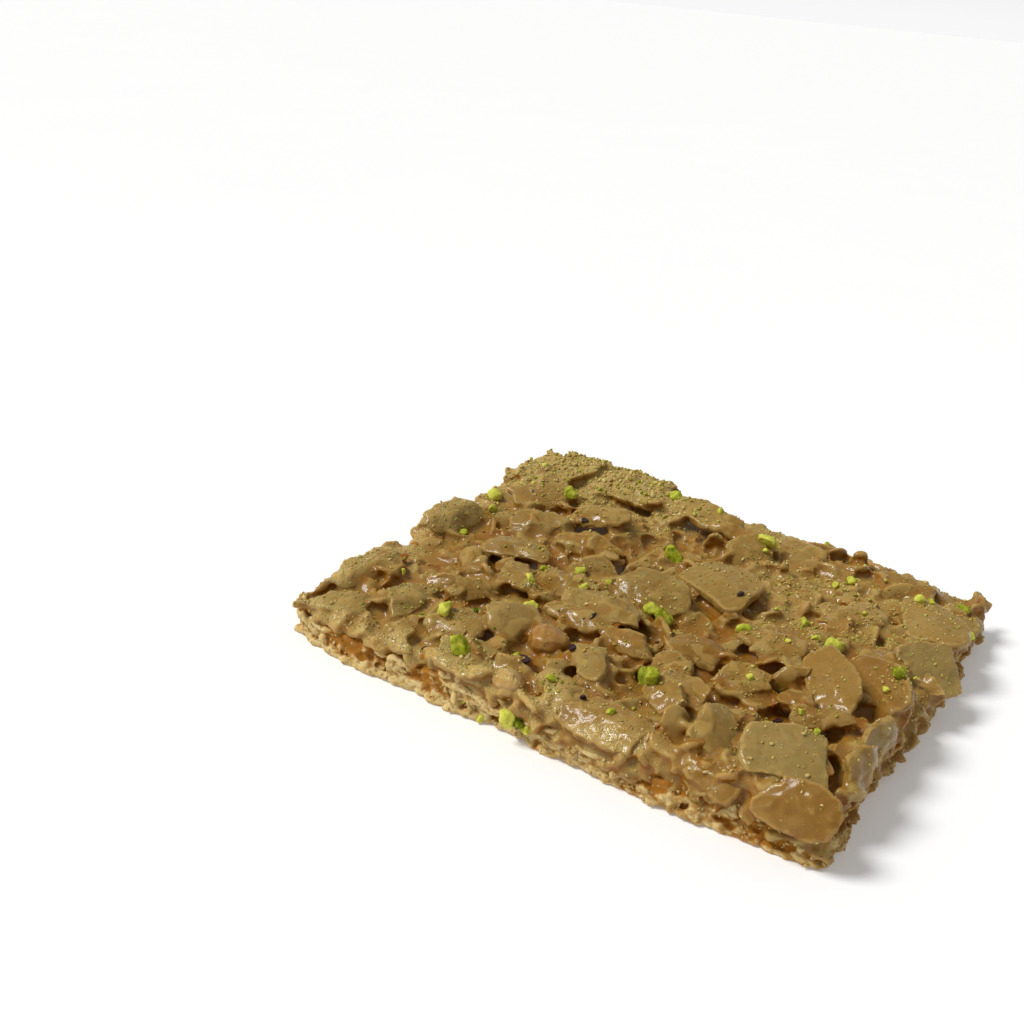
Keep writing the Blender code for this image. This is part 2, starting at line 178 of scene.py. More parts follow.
def apply_modifier(thing: bpy.types.Object, kind: str, **settings: object) -> None:
    """Add a modifier to an object, set it up and apply it.

    Args:
        thing: The object to change.
        kind: Blender's name for the kind of modifier.
        settings: The modifier's own settings.
    """
    select_only(thing)
    modifier = thing.modifiers.new(kind.title(), kind)
    for name, value in settings.items():
        setattr(modifier, name, value)
    bpy.ops.object.modifier_apply(modifier=modifier.name)


def remesh(thing: bpy.types.Object, voxel: float) -> None:
    """Rebuild an object's surface as one even skin with faces of this size."""
    apply_modifier(thing, "REMESH", mode="VOXEL", voxel_size=voxel * MM)


def push(thing: bpy.types.Object, distance: float) -> None:
    """Move an object's surface outwards by this many millimetres, or inwards if negative."""
    apply_modifier(thing, "DISPLACE", strength=distance * MM, mid_level=0.0)


def smooth(thing: bpy.types.Object, passes: int) -> None:
    """Round an object's surface off."""
    apply_modifier(thing, "SMOOTH", factor=0.5, iterations=passes)


def thin_out(thing: bpy.types.Object, most: int) -> None:
    """Bring an object under this many triangles, where its surface is flattest first."""
    thing.data.calc_loop_triangles()
    count = len(thing.data.loop_triangles)
    if count > most:
        apply_modifier(thing, "DECIMATE", ratio=most / count)


def shed_loose(thing: bpy.types.Object) -> None:
    """Delete the small bits that hang loose beside an object's main skin."""
    mesh = thing.data
    flat = np.empty(len(mesh.edges) * 2, np.int32)
    mesh.edges.foreach_get("vertices", flat)
    first, second = flat.reshape(-1, 2).T
    labels = np.arange(len(mesh.vertices))
    before = None
    while before is None or (labels != before).any():
        before = labels.copy()
        lower = np.minimum(labels[first], labels[second])
        np.minimum.at(labels, first, lower)
        np.minimum.at(labels, second, lower)
        labels = labels[labels]
    loose = labels != np.bincount(labels).argmax()
    if not loose.any():
        return
    select_only(thing)
    bpy.ops.object.mode_set(mode="EDIT")
    bpy.ops.mesh.select_all(action="DESELECT")
    bpy.ops.object.mode_set(mode="OBJECT")
    mesh.vertices.foreach_set("select", loose)
    bpy.ops.object.mode_set(mode="EDIT")
    bpy.ops.mesh.delete(type="VERT")
    bpy.ops.object.mode_set(mode="OBJECT")


def join(name: str, things: Sequence[bpy.types.Object]) -> bpy.types.Object:
    """Join objects into one.

    Args:
        name: The name of the joined piece.
        things: The objects, which are used up.

    Returns:
        The joined object.
    """
    select_only(*things)
    bpy.ops.object.join()
    things[0].name = name
    things[0].data.name = name
    return things[0]


def copy_node(node: str, name: str) -> bpy.types.Object:
    """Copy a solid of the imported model, with its corners merged.

    Args:
        node: The name of the solid.
        name: The name of the copy.

    Returns:
        The copy, at the origin, with its place in its mesh.
    """
    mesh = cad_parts[node].data.copy()
    mesh.materials.clear()
    mesh.name = name
    thing = bpy.data.objects.new(name, mesh)
    bpy.context.scene.collection.objects.link(thing)
    select_only(thing)
    bpy.ops.object.mode_set(mode="EDIT")
    bpy.ops.mesh.select_all(action="SELECT")
    bpy.ops.mesh.remove_doubles(threshold=0.002 * MM)
    bpy.ops.mesh.customdata_custom_splitnormals_clear()
    bpy.ops.object.mode_set(mode="OBJECT")
    return thing


def corners_of(mesh: bpy.types.Mesh) -> np.ndarray:
    """Give a mesh's corners as an array with a row for each."""
    flat = np.empty(len(mesh.vertices) * 3, np.float32)
    mesh.vertices.foreach_get("co", flat)
    return flat.reshape(-1, 3)


def normals_of(mesh: bpy.types.Mesh) -> np.ndarray:
    """Give the directions that a mesh's corners face, as an array with a row for each."""
    flat = np.empty(len(mesh.vertices) * 3, np.float32)
    mesh.vertex_normals.foreach_get("vector", flat)
    return flat.reshape(-1, 3)


def set_corners(mesh: bpy.types.Mesh, corners: np.ndarray) -> None:
    """Move a mesh's corners to these places."""
    mesh.vertices.foreach_set("co", corners.astype(np.float32).ravel())
    mesh.update()


def set_values(mesh: bpy.types.Mesh, name: str, values: np.ndarray) -> None:
    """Keep a number for each corner of a mesh, for its material to read."""
    layer = mesh.attributes.get(name) or mesh.attributes.new(name, "FLOAT", "POINT")
    layer.data.foreach_set("value", values.astype(np.float32))


def values_of(mesh: bpy.types.Mesh, name: str) -> np.ndarray:
    """Give the numbers that a mesh keeps for its corners."""
    values = np.empty(len(mesh.vertices), np.float32)
    mesh.attributes[name].data.foreach_get("value", values)
    return values


def roughen(
    thing: bpy.types.Object,
    grains: Sequence[Grain],
    share: Callable[[Vector], float] | None = None,
) -> None:
    """Move an object's surface along its normals by layers of unevenness.

    Args:
        thing: The object to change.
        grains: The layers, which add up.
        share: Gives how much of them to use at a place, or None for all of them everywhere.
    """
    corners = corners_of(thing.data)
    moves = np.empty(len(corners), np.float32)
    for index, corner in enumerate(corners):
        place = Vector(corner)
        moves[index] = sum(grain.at(place) for grain in grains)
        if share is not None:
            moves[index] *= share(place)
    set_corners(thing.data, corners + normals_of(thing.data) * moves[:, None] * MM)


def keep_on_table(thing: bpy.types.Object) -> None:
    """Lift whatever has sunk below the underside of the slab, and press down what stands too high."""
    corners = corners_of(thing.data)
    corners[:, 2] = np.clip(corners[:, 2], 0.0, CAD_HIGH.z + HEADROOM * MM)
    set_corners(thing.data, corners)


def sharpness_of(mesh: bpy.types.Mesh, spread: int) -> np.ndarray:
    """Measure how a surface bends: above 0 on ridges and below 0 in creases.

    Args:
        mesh: The surface, with even faces.
        spread: Over how many rings of neighbours to even the measure out.

    Returns:
        A number for each corner, within about -1 and 1.
    """
    corners = corners_of(mesh).astype(float)
    count = len(corners)
    flat = np.empty(len(mesh.edges) * 2, np.int32)
    mesh.edges.foreach_get("vertices", flat)
    first, second = flat.reshape(-1, 2).T
    degree = np.maximum(np.bincount(first, minlength=count) + np.bincount(second, minlength=count), 1)

    def around(values: np.ndarray) -> np.ndarray:
        """Give the mean of each corner's neighbours."""
        total = np.bincount(first, values[second], count) + np.bincount(second, values[first], count)
        return total / degree

    middle = np.stack([around(corners[:, axis]) for axis in range(3)], axis=1)
    bend = ((corners - middle) * normals_of(mesh)).sum(axis=1)
    for _ in range(spread):
        bend = 0.5 * bend + 0.5 * around(bend)
    return np.clip(bend / (0.03 * MM), -1.0, 1.0)


def dress(
    thing: bpy.types.Object,
    material: bpy.types.Material,
    slot: Slot,
    nodes: Sequence[str] = (),
) -> None:
    """Give a finished piece its material and its place in the model, and log its slot.

    Args:
        thing: The piece.
        material: Its finish.
        slot: The record's slot for that finish.
        nodes: The solids that the piece stands for.
    """
    thing.data.materials.clear()
    thing.data.materials.append(material)
    select_only(thing)
    bpy.ops.object.shade_smooth()
    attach(thing, BODY)
    if nodes:
        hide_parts(*nodes)
    LOG.info("%s: %d faces, slot %s", thing.name, len(thing.data.polygons), slot.value)


# ---------------------------------------------------------------------------------------------
# Finishes
# ---------------------------------------------------------------------------------------------


def paint(red: int, green: int, blue: int) -> tuple[float, float, float, float]:
    """Turn a screen colour with parts from 0 to 255 into a linear one."""
    parts = []
    for value in (red, green, blue):
        share = value / 255.0
        parts.append(share / 12.92 if share <= 0.04045 else ((share + 0.055) / 1.055) ** 2.4)
    return (*parts, 1.0)


Colour = tuple[float, float, float, float]
Socket = bpy.types.NodeSocket


class Graph:
    """The nodes of one material, with a short method for each kind of node."""

    def __init__(self, name: str) -> None:
        """Start a material with a Principled BSDF.

        Args:
            name: The material's name.
        """
        self.material = bpy.data.materials.new(name)
        self.material.use_nodes = True
        self.tree = self.material.node_tree
        self.shader = self.tree.nodes["Principled BSDF"]
        self.place = self.add("ShaderNodeTexCoord").outputs["Object"]

    def add(self, kind: str, **settings: object) -> bpy.types.Node:
        """Add a node and set its properties."""
        node = self.tree.nodes.new(kind)
        for name, value in settings.items():
            setattr(node, name, value)
        return node

    def feed(self, socket: Socket, value: Socket | float | Colour) -> None:
        """Link a socket to another, or give it a value."""
        if isinstance(value, bpy.types.NodeSocket):
            self.tree.links.new(value, socket)
        else:
            socket.default_value = value

    def stretched(self, stretch: tuple[float, float, float], turn: float = 0.0) -> Socket:
        """Give the place with its axes stretched and turned about Z."""
        mapping = self.add("ShaderNodeMapping")
        self.feed(mapping.inputs["Vector"], self.place)
        mapping.inputs["Scale"].default_value = stretch
        mapping.inputs["Rotation"].default_value = (0.0, 0.0, turn)
        return mapping.outputs["Vector"]

    def noise(
        self, size: float, detail: float = 3.0, rough: float = 0.55, place: Socket | None = None
    ) -> Socket:
        """Give a cloudy pattern.

        Args:
            size: How large its clouds are, in millimetres.
            detail: How many finer layers it has.
            rough: How strong they are.
            place: The place to read it at, or None for the plain one.

        Returns:
            A number from 0 to 1, mostly near 0.5.
        """
        node = self.add("ShaderNodeTexNoise")
        self.feed(node.inputs["Vector"], place or self.place)
        node.inputs["Scale"].default_value = 1.0 / (size * MM)
        node.inputs["Detail"].default_value = detail
        node.inputs["Roughness"].default_value = rough
        return node.outputs["Fac"]

    def specks(self, size: float) -> Socket:
        """Give the distance from the nearest of many scattered points, in units of their spacing."""
        node = self.add("ShaderNodeTexVoronoi")
        self.feed(node.inputs["Vector"], self.place)
        node.inputs["Scale"].default_value = 1.0 / (size * MM)
        return node.outputs["Distance"]

    def span(self, value: Socket, low: float, high: float) -> Socket:
        """Stretch a range of a number to 0 to 1, with soft ends."""
        node = self.add("ShaderNodeMapRange", interpolation_type="SMOOTHSTEP")
        self.feed(node.inputs["Value"], value)
        node.inputs["From Min"].default_value = low
        node.inputs["From Max"].default_value = high
        return node.outputs["Result"]

    def calculate(self, operation: str, first: Socket | float, second: Socket | float) -> Socket:
        """Work out a sum, a product or the like of two numbers."""
        node = self.add("ShaderNodeMath", operation=operation, use_clamp=False)
        self.feed(node.inputs[0], first)
        self.feed(node.inputs[1], second)
        return node.outputs[0]

    def ramp(self, value: Socket, stops: Sequence[tuple[float, Colour]]) -> Socket:
        """Turn a number into a colour by stops along the way."""
        node = self.add("ShaderNodeValToRGB")
        band = node.color_ramp
        while len(band.elements) < len(stops):
            band.elements.new(0.5)
        for element, (where, colour) in zip(band.elements, stops):
            element.position = where
            element.color = colour
        self.feed(node.inputs["Fac"], value)
        return node.outputs["Color"]

    def blend(
        self, share: Socket | float, first: Socket | Colour, second: Socket | Colour, how: str = "MIX"
    ) -> Socket:
        """Mix a second colour into the first by a share from 0 to 1."""
        node = self.add("ShaderNodeMix", data_type="RGBA", blend_type=how)
        self.feed(node.inputs[0], share)
        self.feed(node.inputs[6], first)
        self.feed(node.inputs[7], second)
        return node.outputs[2]

    def kept(self, name: str) -> Socket:
        """Give a number that the mesh keeps for each corner."""
        node = self.add("ShaderNodeAttribute", attribute_name=name)
        return node.outputs["Fac"]

    def bump(self, height: Socket, depth: float, under: Socket | None = None) -> Socket:
        """Give a normal that makes a pattern stand up by this many millimetres."""
        node = self.add("ShaderNodeBump")
        node.inputs["Strength"].default_value = 1.0
        node.inputs["Distance"].default_value = depth * MM
        self.feed(node.inputs["Height"], height)
        if under is not None:
            self.feed(node.inputs["Normal"], under)
        return node.outputs["Normal"]

    def glow(self, weight: float, depth: float, red: float, green: float, blue: float) -> None:
        """Let light sink into the surface.

        Args:
            weight: How much of it does.
            depth: How far, in millimetres.
            red: The share of that depth for red light.
            green: The share for green light.
            blue: The share for blue light.
        """
        self.shader.inputs["Subsurface Weight"].default_value = weight
        self.shader.inputs["Subsurface Radius"].default_value = (red, green, blue)
        self.shader.inputs["Subsurface Scale"].default_value = depth * MM

    def finish(self, colour: Socket, rough: Socket | float, normal: Socket) -> bpy.types.Material:
        """Link the shader up and give the material."""
        self.feed(self.shader.inputs["Base Color"], colour)
        self.feed(self.shader.inputs["Roughness"], rough)
        self.feed(self.shader.inputs["Normal"], normal)
        return self.material


@dataclass(frozen=True)
class CoatFinish:
    """Set caramel, alone or over a slice of almond: tan where it lies thin and amber where it is deep, with painted
    shade darkening its hollows and creases and a painted highlight lightening its ridges.
    """

    name: str
    golden: Colour
    tan: Colour
    grey: Colour
    pale: Colour
    # deep: darker amber for hollows and creases, standing for caramel pooled deeper there and for painted shade
    deep: Colour = paint(136, 78, 4)
    # rim: the paler colour of the painted highlight on ridges
    rim: Colour = paint(174, 144, 80)
    dust: Colour = paint(200, 172, 104)
    dry: float = 0.5
    wet: float = 0.11
    sheen: float = 0.1
    glaze: float = 0.3

    def make(self) -> bpy.types.Material:
        """Build the material, which reads the tone, bend, hollow and dust that a mesh keeps."""
        graph = Graph(self.name)
        wander = graph.noise(6.0, 2.0)
        patch = graph.noise(2.2, 3.0, 0.6)
        shift = graph.calculate("MULTIPLY", graph.calculate("SUBTRACT", patch, 0.5), 0.55)
        drift = graph.calculate("MULTIPLY", graph.calculate("SUBTRACT", wander, 0.5), 0.5)
        tone = graph.calculate("ADD", graph.kept("tone"), graph.calculate("ADD", shift, drift))
        colour = graph.ramp(
            tone, [(0.05, self.golden), (0.42, self.tan), (0.68, self.grey), (0.95, self.pale)]
        )
        bend = graph.kept("bend")
        # Painted shade: creases and the hollows that the slab shuts in turn deep amber, which also stands for caramel
        # pooled deeper there
        crease_shade = graph.span(bend, -0.05, -0.7)
        crease_shade = graph.calculate("MULTIPLY", crease_shade, 0.6)
        hollow_shade = graph.calculate("MAXIMUM", graph.kept("hollow_shade"), crease_shade)
        bared = graph.calculate("MULTIPLY_ADD", graph.kept("dust"), -0.5)
        bared.node.inputs[2].default_value = 0.85
        colour = graph.blend(graph.calculate("MULTIPLY", hollow_shade, bared), colour, self.deep)
        # Painted highlight: ridges are lightened towards the rim colour
        ridge_highlight = graph.calculate("MULTIPLY", graph.span(bend, 0.2, 0.95), 0.5)
        colour = graph.blend(ridge_highlight, colour, self.rim)
        colour = graph.blend(graph.calculate("MULTIPLY", graph.kept("dust"), 0.55), colour, self.dust)
        reach = graph.calculate("MULTIPLY", graph.kept("dust"), 0.5)
        powder = graph.span(graph.calculate("SUBTRACT", graph.specks(0.45), reach), 0.03, -0.2)
        colour = graph.blend(powder, colour, self.dust)
        wetness = graph.span(graph.noise(2.6, 3.0, 0.65), 0.5, 0.62)
        rough = graph.calculate("MULTIPLY_ADD", wetness, self.wet - self.dry)
        rough.node.inputs[2].default_value = self.dry
        rough = graph.calculate("ADD", rough, graph.calculate("MULTIPLY", powder, 0.4))
        normal = graph.bump(graph.noise(0.9, 3.0, 0.55), 0.07)
        normal = graph.bump(powder, 0.12, normal)
        graph.glow(0.5, 1.8, 1.0, 0.42, 0.12)
        graph.shader.inputs["Specular IOR Level"].default_value = self.sheen
        graph.shader.inputs["Coat Weight"].default_value = self.glaze
        graph.shader.inputs["Coat Roughness"].default_value = self.wet
        graph.feed(graph.shader.inputs["Coat Normal"], normal)
        return graph.finish(colour, rough, normal)


@dataclass(frozen=True)
class PastryFinish:
    """Baked pastry: cream inside, golden at its edges and amber where caramel has run in; amber is also painted as
    shade in its creases and hollows.
    """

    name: str = "baked_pastry"
    cream: Colour = paint(206, 183, 127)
    gold: Colour = paint(184, 150, 84)
    # amber: caramel soaked into the pastry, and painted shade in its creases and hollows
    amber: Colour = paint(156, 99, 24)
    stained: Colour = paint(158, 118, 56)
    crust: Colour = paint(170, 120, 58)
    sheen: float = 0.06

    def make(self) -> bpy.types.Material:
        """Build the material, which reads the numbers that the mesh keeps."""
        graph = Graph(self.name)
        layers = graph.noise(1.8, 4.0, 0.6, graph.stretched((1.0, 1.0, 2.0)))
        colour = graph.ramp(layers, [(0.32, self.gold), (0.5, self.cream), (0.8, self.cream)])
        stain = graph.calculate("MULTIPLY", graph.kept("over"), graph.span(layers, 0.66, 0.42))
        colour = graph.blend(stain, colour, self.stained)
        soak = graph.calculate("ADD", graph.kept("soak"), graph.calculate("MULTIPLY", layers, -0.5))
        colour = graph.blend(graph.calculate("MULTIPLY", graph.span(soak, 0.0, 0.55), 0.9), colour, self.amber)
        # Painted shade: the pastry's creases and the hollows that the slab shuts in turn amber
        bend = graph.kept("bend")
        colour = graph.blend(graph.calculate("MULTIPLY", graph.span(bend, -0.1, -0.8), 0.6), colour, self.amber)
        colour = graph.blend(graph.calculate("MULTIPLY", graph.kept("hollow_shade"), 0.6), colour, self.amber)
        colour = graph.blend(graph.calculate("MULTIPLY", graph.kept("crust"), 0.8), colour, self.crust)
        normal = graph.bump(graph.noise(0.45, 4.0, 0.7), 0.1)
        graph.glow(0.45, 1.3, 1.0, 0.5, 0.2)
        graph.shader.inputs["Specular IOR Level"].default_value = self.sheen
        return graph.finish(colour, 0.72, normal)


@dataclass(frozen=True)
class CrumbFinish:
    """Small dry bits of one kind, each a little different from the next."""

    name: str
    dark: Colour
    middle: Colour
    light: Colour
    rough: float = 0.7
    lumps: float = 0.5
    glow_weight: float = 0.0
    sheen: float = 0.12

    def make(self) -> bpy.types.Material:
        """Build the material, which reads the tone that each bit keeps."""
        graph = Graph(self.name)
        mottle = graph.calculate("SUBTRACT", graph.noise(self.lumps * 2.2, 3.0, 0.65), 0.5)
        tone = graph.calculate("ADD", graph.kept("tone"), graph.calculate("MULTIPLY", mottle, 1.3))
        colour = graph.ramp(tone, [(0.1, self.dark), (0.5, self.middle), (0.9, self.light)])
        normal = graph.bump(graph.noise(self.lumps, 4.0, 0.7), 0.12)
        if self.glow_weight > 0.0:
            graph.glow(self.glow_weight, 0.8, 1.0, 0.8, 0.3)
        graph.shader.inputs["Specular IOR Level"].default_value = self.sheen
        return graph.finish(colour, self.rough, normal)


@dataclass(frozen=True)
class TableFinish:
    """A plain pale table top, lit a little from beneath."""

    name: str = "pale_table"
    lit: float = 0.16
    colour: Colour = paint(243, 243, 242)
    shade: Colour = paint(239, 239, 239)

    def make(self) -> bpy.types.Material:
        """Build the material."""
        graph = Graph(self.name)
        cloud = graph.noise(90.0, 2.0)
        colour = graph.blend(cloud, self.colour, self.shade)
        normal = graph.bump(graph.noise(1.2, 2.0), 0.01)
        graph.shader.inputs["Emission Color"].default_value = self.colour
        graph.shader.inputs["Emission Strength"].default_value = self.lit
        return graph.finish(colour, 0.6, normal)


# ---------------------------------------------------------------------------------------------
# The dressed surface, which loose bits fall on
# ---------------------------------------------------------------------------------------------


@dataclass
class Surface:
    """The finished slab, as something to drop loose bits on."""

    things: list[bpy.types.Object]
    cell: float = 0.5
    tree: BVHTree = field(init=False)
    owners: list[str] = field(init=False)
    tones: np.ndarray = field(init=False)
    heights: np.ndarray = field(init=False)
    blurred: np.ndarray = field(init=False)

    def __post_init__(self) -> None:
        """Gather the pieces' faces and measure the height of the top."""
        corners: list[np.ndarray] = []
        faces: list[tuple[int, ...]] = []
        tones: list[np.ndarray] = []
        start = 0
        self.owners = []
        for thing in self.things:
            thing.data.calc_loop_triangles()
            self.owners += [thing.name] * len(thing.data.loop_triangles)
            flat = np.empty(len(thing.data.loop_triangles) * 3, np.int32)
            thing.data.loop_triangles.foreach_get("vertices", flat)
            kept = values_of(thing.data, "tone") if "tone" in thing.data.attributes else None
            tones.append(np.zeros(len(flat) // 3) if kept is None else kept[flat[::3]])
            faces.extend(map(tuple, (flat.reshape(-1, 3) + start).tolist()))
            corners.append(corners_of(thing.data))
            start += len(corners[-1])
        self.tree = BVHTree.FromPolygons(np.concatenate(corners).tolist(), faces)
        self.tones = np.concatenate(tones)
        self._measure()

    def _measure(self) -> None:
        """Measure the height of the top on a grid, and a version that is evened out."""
        step = self.cell * MM
        columns = int((CAD_HIGH.x - CAD_LOW.x) / step) + 1
        rows = int((CAD_HIGH.y - CAD_LOW.y) / step) + 1
        self.heights = np.zeros((columns, rows))
        for column in range(columns):
            for row in range(rows):
                hit = self.drop((CAD_LOW.x + column * step) / MM, (CAD_LOW.y + row * step) / MM)
                if hit is not None:
                    self.heights[column, row] = hit[0].z
        self.blurred = self._blur(self.heights, 2.4)

    def _blur(self, values: np.ndarray, radius: float) -> np.ndarray:
        """Even out a grid of heights, leaving out the places that missed the slab."""
        reach = int(3 * radius / self.cell)
        weights = np.exp(-0.5 * (np.arange(-reach, reach + 1) * self.cell / radius) ** 2)
        present = (values > 0).astype(float)
        total, share = values * present, present
        for axis in (0, 1):
            total = np.apply_along_axis(np.convolve, axis, total, weights, "same")
            share = np.apply_along_axis(np.convolve, axis, share, weights, "same")
        return total / np.maximum(share, 1e-9)

    def drop(self, x: float, y: float) -> tuple[Vector, Vector] | None:
        """Find where something that falls straight down lands.

        Args:
            x: The place across, in millimetres.
            y: The place away, in millimetres.

        Returns:
            The place in metres and the direction that the surface faces there, or None beside the slab.
        """
        start = Vector((x * MM, y * MM, CAD_HIGH.z + 10 * MM))
        place, normal, _, _ = self.tree.ray_cast(start, Vector((0, 0, -1)))
        return None if place is None else (place, normal)

    def strike(self, start: Vector, heading: Vector) -> tuple[Vector, Vector] | None:
        """Find where something that flies from a place in a direction lands."""
        place, normal, _, _ = self.tree.ray_cast(start, heading)
        return None if place is None else (place, normal)

    def owner(self, x: float, y: float) -> str:
        """Give the name of the piece on top at a place in millimetres, or nothing beside the slab."""
        start = Vector((x * MM, y * MM, CAD_HIGH.z + 10 * MM))
        face = self.tree.ray_cast(start, Vector((0, 0, -1)))[2]
        return "" if face is None else self.owners[face]

    def level(self, x: float, y: float) -> float:
        """Give the evened-out height of the top at a place, in millimetres."""
        column = int(round((x * MM - CAD_LOW.x) / (self.cell * MM)))
        row = int(round((y * MM - CAD_LOW.y) / (self.cell * MM)))
        column = min(max(column, 0), self.blurred.shape[0] - 1)
        row = min(max(row, 0), self.blurred.shape[1] - 1)
        return float(self.blurred[column, row]) / MM

    def shelter(self, mesh: bpy.types.Mesh, reach: float = 3.5) -> np.ndarray:
        """Measure how shut in a surface is.

        Args:
            mesh: The surface.
            reach: How far off the slab still shuts it in, in millimetres.

        Returns:
            A number for each corner, from 0 in the open to 1 where it is most shut in.
        """
        turns = 2.4 * np.arange(7)
        rises = 1.0 - (np.arange(7) + 0.5) / 7.0
        across = np.sqrt(1.0 - rises**2)
        rays = np.stack([np.cos(turns) * across, np.sin(turns) * across, rises], axis=1)
        corners, normals = corners_of(mesh), normals_of(mesh)
        headings = normals[:, None, :] + 0.92 * rays[None, :, :] * np.array([1.0, 1.0, 0.8])
        starts = corners + normals * (0.06 * MM)
        shut = np.zeros(len(corners))
        cast = self.tree.ray_cast
        longest = reach * MM
        for index, (start, around) in enumerate(zip(starts.tolist(), headings.tolist())):
            total = 0.0
            for heading in around:
                distance = cast(start, heading, longest)[3]
                if distance is not None:
                    total += 1.0 - distance / longest
            shut[index] = total / len(around)
        return shut


def hollowing(x: float, y: float) -> float:
    """Give how deep the caramel has sunk at a place, in millimetres, beyond its usual level."""
    sunk = 0.0
    for hollow_x, hollow_y, radius, depth in HOLLOWS:
        sunk += depth * math.exp(-(((x - hollow_x) ** 2 + (y - hollow_y) ** 2) / radius**2) ** 2)
    return sunk


def overrun(x: float) -> float:
    """Give how far the caramel has run down the side of the slab at a place across, from 0 to 1."""
    return min(max((x + 16.0) / 52.0, 0.0), 0.85)


def dusting(x: float, y: float) -> float:
    """Give how thickly the slab is dusted with crumbs at a place, from 0 to 1."""
    hill = 1.0 / (1.0 + math.exp((x + 0.35 * (28.0 - y) + 12.0) / 5.0))
    hill *= 1.0 / (1.0 + math.exp((24.0 - y) / 3.5))
    right = 0.34 * math.exp(-(((x - 24.0) / 17.0) ** 2) - ((y - 19.0) / 15.0) ** 2)
    patch = noise.noise(Vector((x, y, 3.0)) / 9.0)
    return min(max(0.17 + 0.22 * patch + 0.85 * hill + right, 0.02), 1.0)


def crusting(x: float, y: float) -> float:
    """Give how thickly pastry crumbs lie along the rim at a place, from 0 to 1."""
    reach = max(abs(x) - CAD_HIGH.x / MM, abs(y) - CAD_HIGH.y / MM)
    patch = noise.noise(Vector((x, y, 5.0)) / 4.0)
    return min(max(math.exp((reach + 4.0) / 3.5) * (1.0 - overrun(x)) * (0.75 + 1.3 * patch), 0.0), 1.0)


def mark(thing: bpy.types.Object, tone: np.ndarray | float, surface: Surface) -> None:
    """Keep on a coated piece's corners what its finish reads.

    Args:
        thing: The piece.
        tone: Its tone, for the whole piece or for each corner.
        surface: The finished slab, which shuts some places in.
    """
    mesh = thing.data
    corners = corners_of(mesh)
    normals = normals_of(mesh)
    set_values(mesh, "tone", np.full(len(corners), tone) if np.isscalar(tone) else tone)
    set_values(mesh, "bend", sharpness_of(mesh, 2))
    dust = np.array([dusting(x, y) + crusting(x, y) for x, y, _ in corners / MM])
    set_values(mesh, "dust", np.clip(dust, 0.0, 1.0) * np.clip(normals[:, 2] * 1.3 + 0.2, 0.0, 1.0))
    # How shut in each corner is, which the finish darkens as painted shade
    set_values(mesh, "hollow_shade", np.clip((surface.shelter(mesh) - 0.16) / 0.42, 0.0, 1.0))


# ---------------------------------------------------------------------------------------------
# Small shapes that are modelled once and copied
# ---------------------------------------------------------------------------------------------


def loft(name: str, rings: Sequence[Sequence[Vector]]) -> bpy.types.Object:
    """Join cross-sections that go once round the slab into a closed band.

    Args:
        name: The name of the band.
        rings: The sections, each with the same number of corners, in metres.

    Returns:
        The band.
    """
    across = len(rings[0])
    faces = []
    for index in range(len(rings)):
        following = (index + 1) % len(rings)
        for step in range(across):
            beside = (step + 1) % across
            faces.append((index * across + step, following * across + step,
                          following * across + beside, index * across + beside))
    mesh = bpy.data.meshes.new(name)
    mesh.from_pydata([corner for ring in rings for corner in ring], [], faces)
    thing = bpy.data.objects.new(name, mesh)
    bpy.context.scene.collection.objects.link(thing)
    select_only(thing)
    bpy.ops.object.mode_set(mode="EDIT")
    bpy.ops.mesh.select_all(action="SELECT")
    bpy.ops.mesh.normals_make_consistent(inside=False)
    bpy.ops.object.mode_set(mode="OBJECT")
    return thing


@dataclass(frozen=True)
class Shape:
    """A small shape one millimetre across, to be copied many times."""

    corners: np.ndarray
    faces: np.ndarray

    @classmethod
    def of(cls, thing: bpy.types.Object) -> "Shape":
        """Read the shape of a modelled object, which is used up."""
        thing.data.calc_loop_triangles()
        flat = np.empty(len(thing.data.loop_triangles) * 3, np.int32)
        thing.data.loop_triangles.foreach_get("vertices", flat)
        corners = corners_of(thing.data) / MM
        bpy.data.objects.remove(thing)
        return cls(corners - corners.mean(axis=0), flat.reshape(-1, 3))


def cut_off(place: Vector, outward: Vector) -> None:
    """Cut away what lies beyond a plane, on the object in edit mode, and close the cut."""
    bpy.ops.mesh.select_all(action="SELECT")
    bpy.ops.mesh.bisect(plane_co=place, plane_no=outward, use_fill=True, clear_outer=True)


def ball_lumps(
    count: int, rounds: int = 1, flat: float = 0.8, seed: float = 0.0, rough: float = 0.17
) -> list[Shape]:
    """Model small rounded crumbs.

    Args:
        count: How many different ones.
        rounds: How finely they are divided.
        flat: Their height as a share of their length.
        seed: Sets one kind apart from the next.
        rough: How uneven they are.

    Returns:
        Their shapes.
    """
    shapes = []
    for number in range(count):
        bpy.ops.object.select_all(action="DESELECT")
        bpy.ops.mesh.primitive_ico_sphere_add(subdivisions=rounds, radius=0.5 * MM)
        ball = bpy.context.object
        bpy.ops.object.mode_set(mode="EDIT")
        bpy.ops.transform.resize(value=(1.0, 0.5 + 0.5 * flat, flat))
        bpy.ops.object.mode_set(mode="OBJECT")
        roughen(ball, (Grain(rough, (0.5, 0.5, 0.5), Relief.SMOOTH, seed + 3.7 * number),))
        shapes.append(Shape.of(ball))
    return shapes


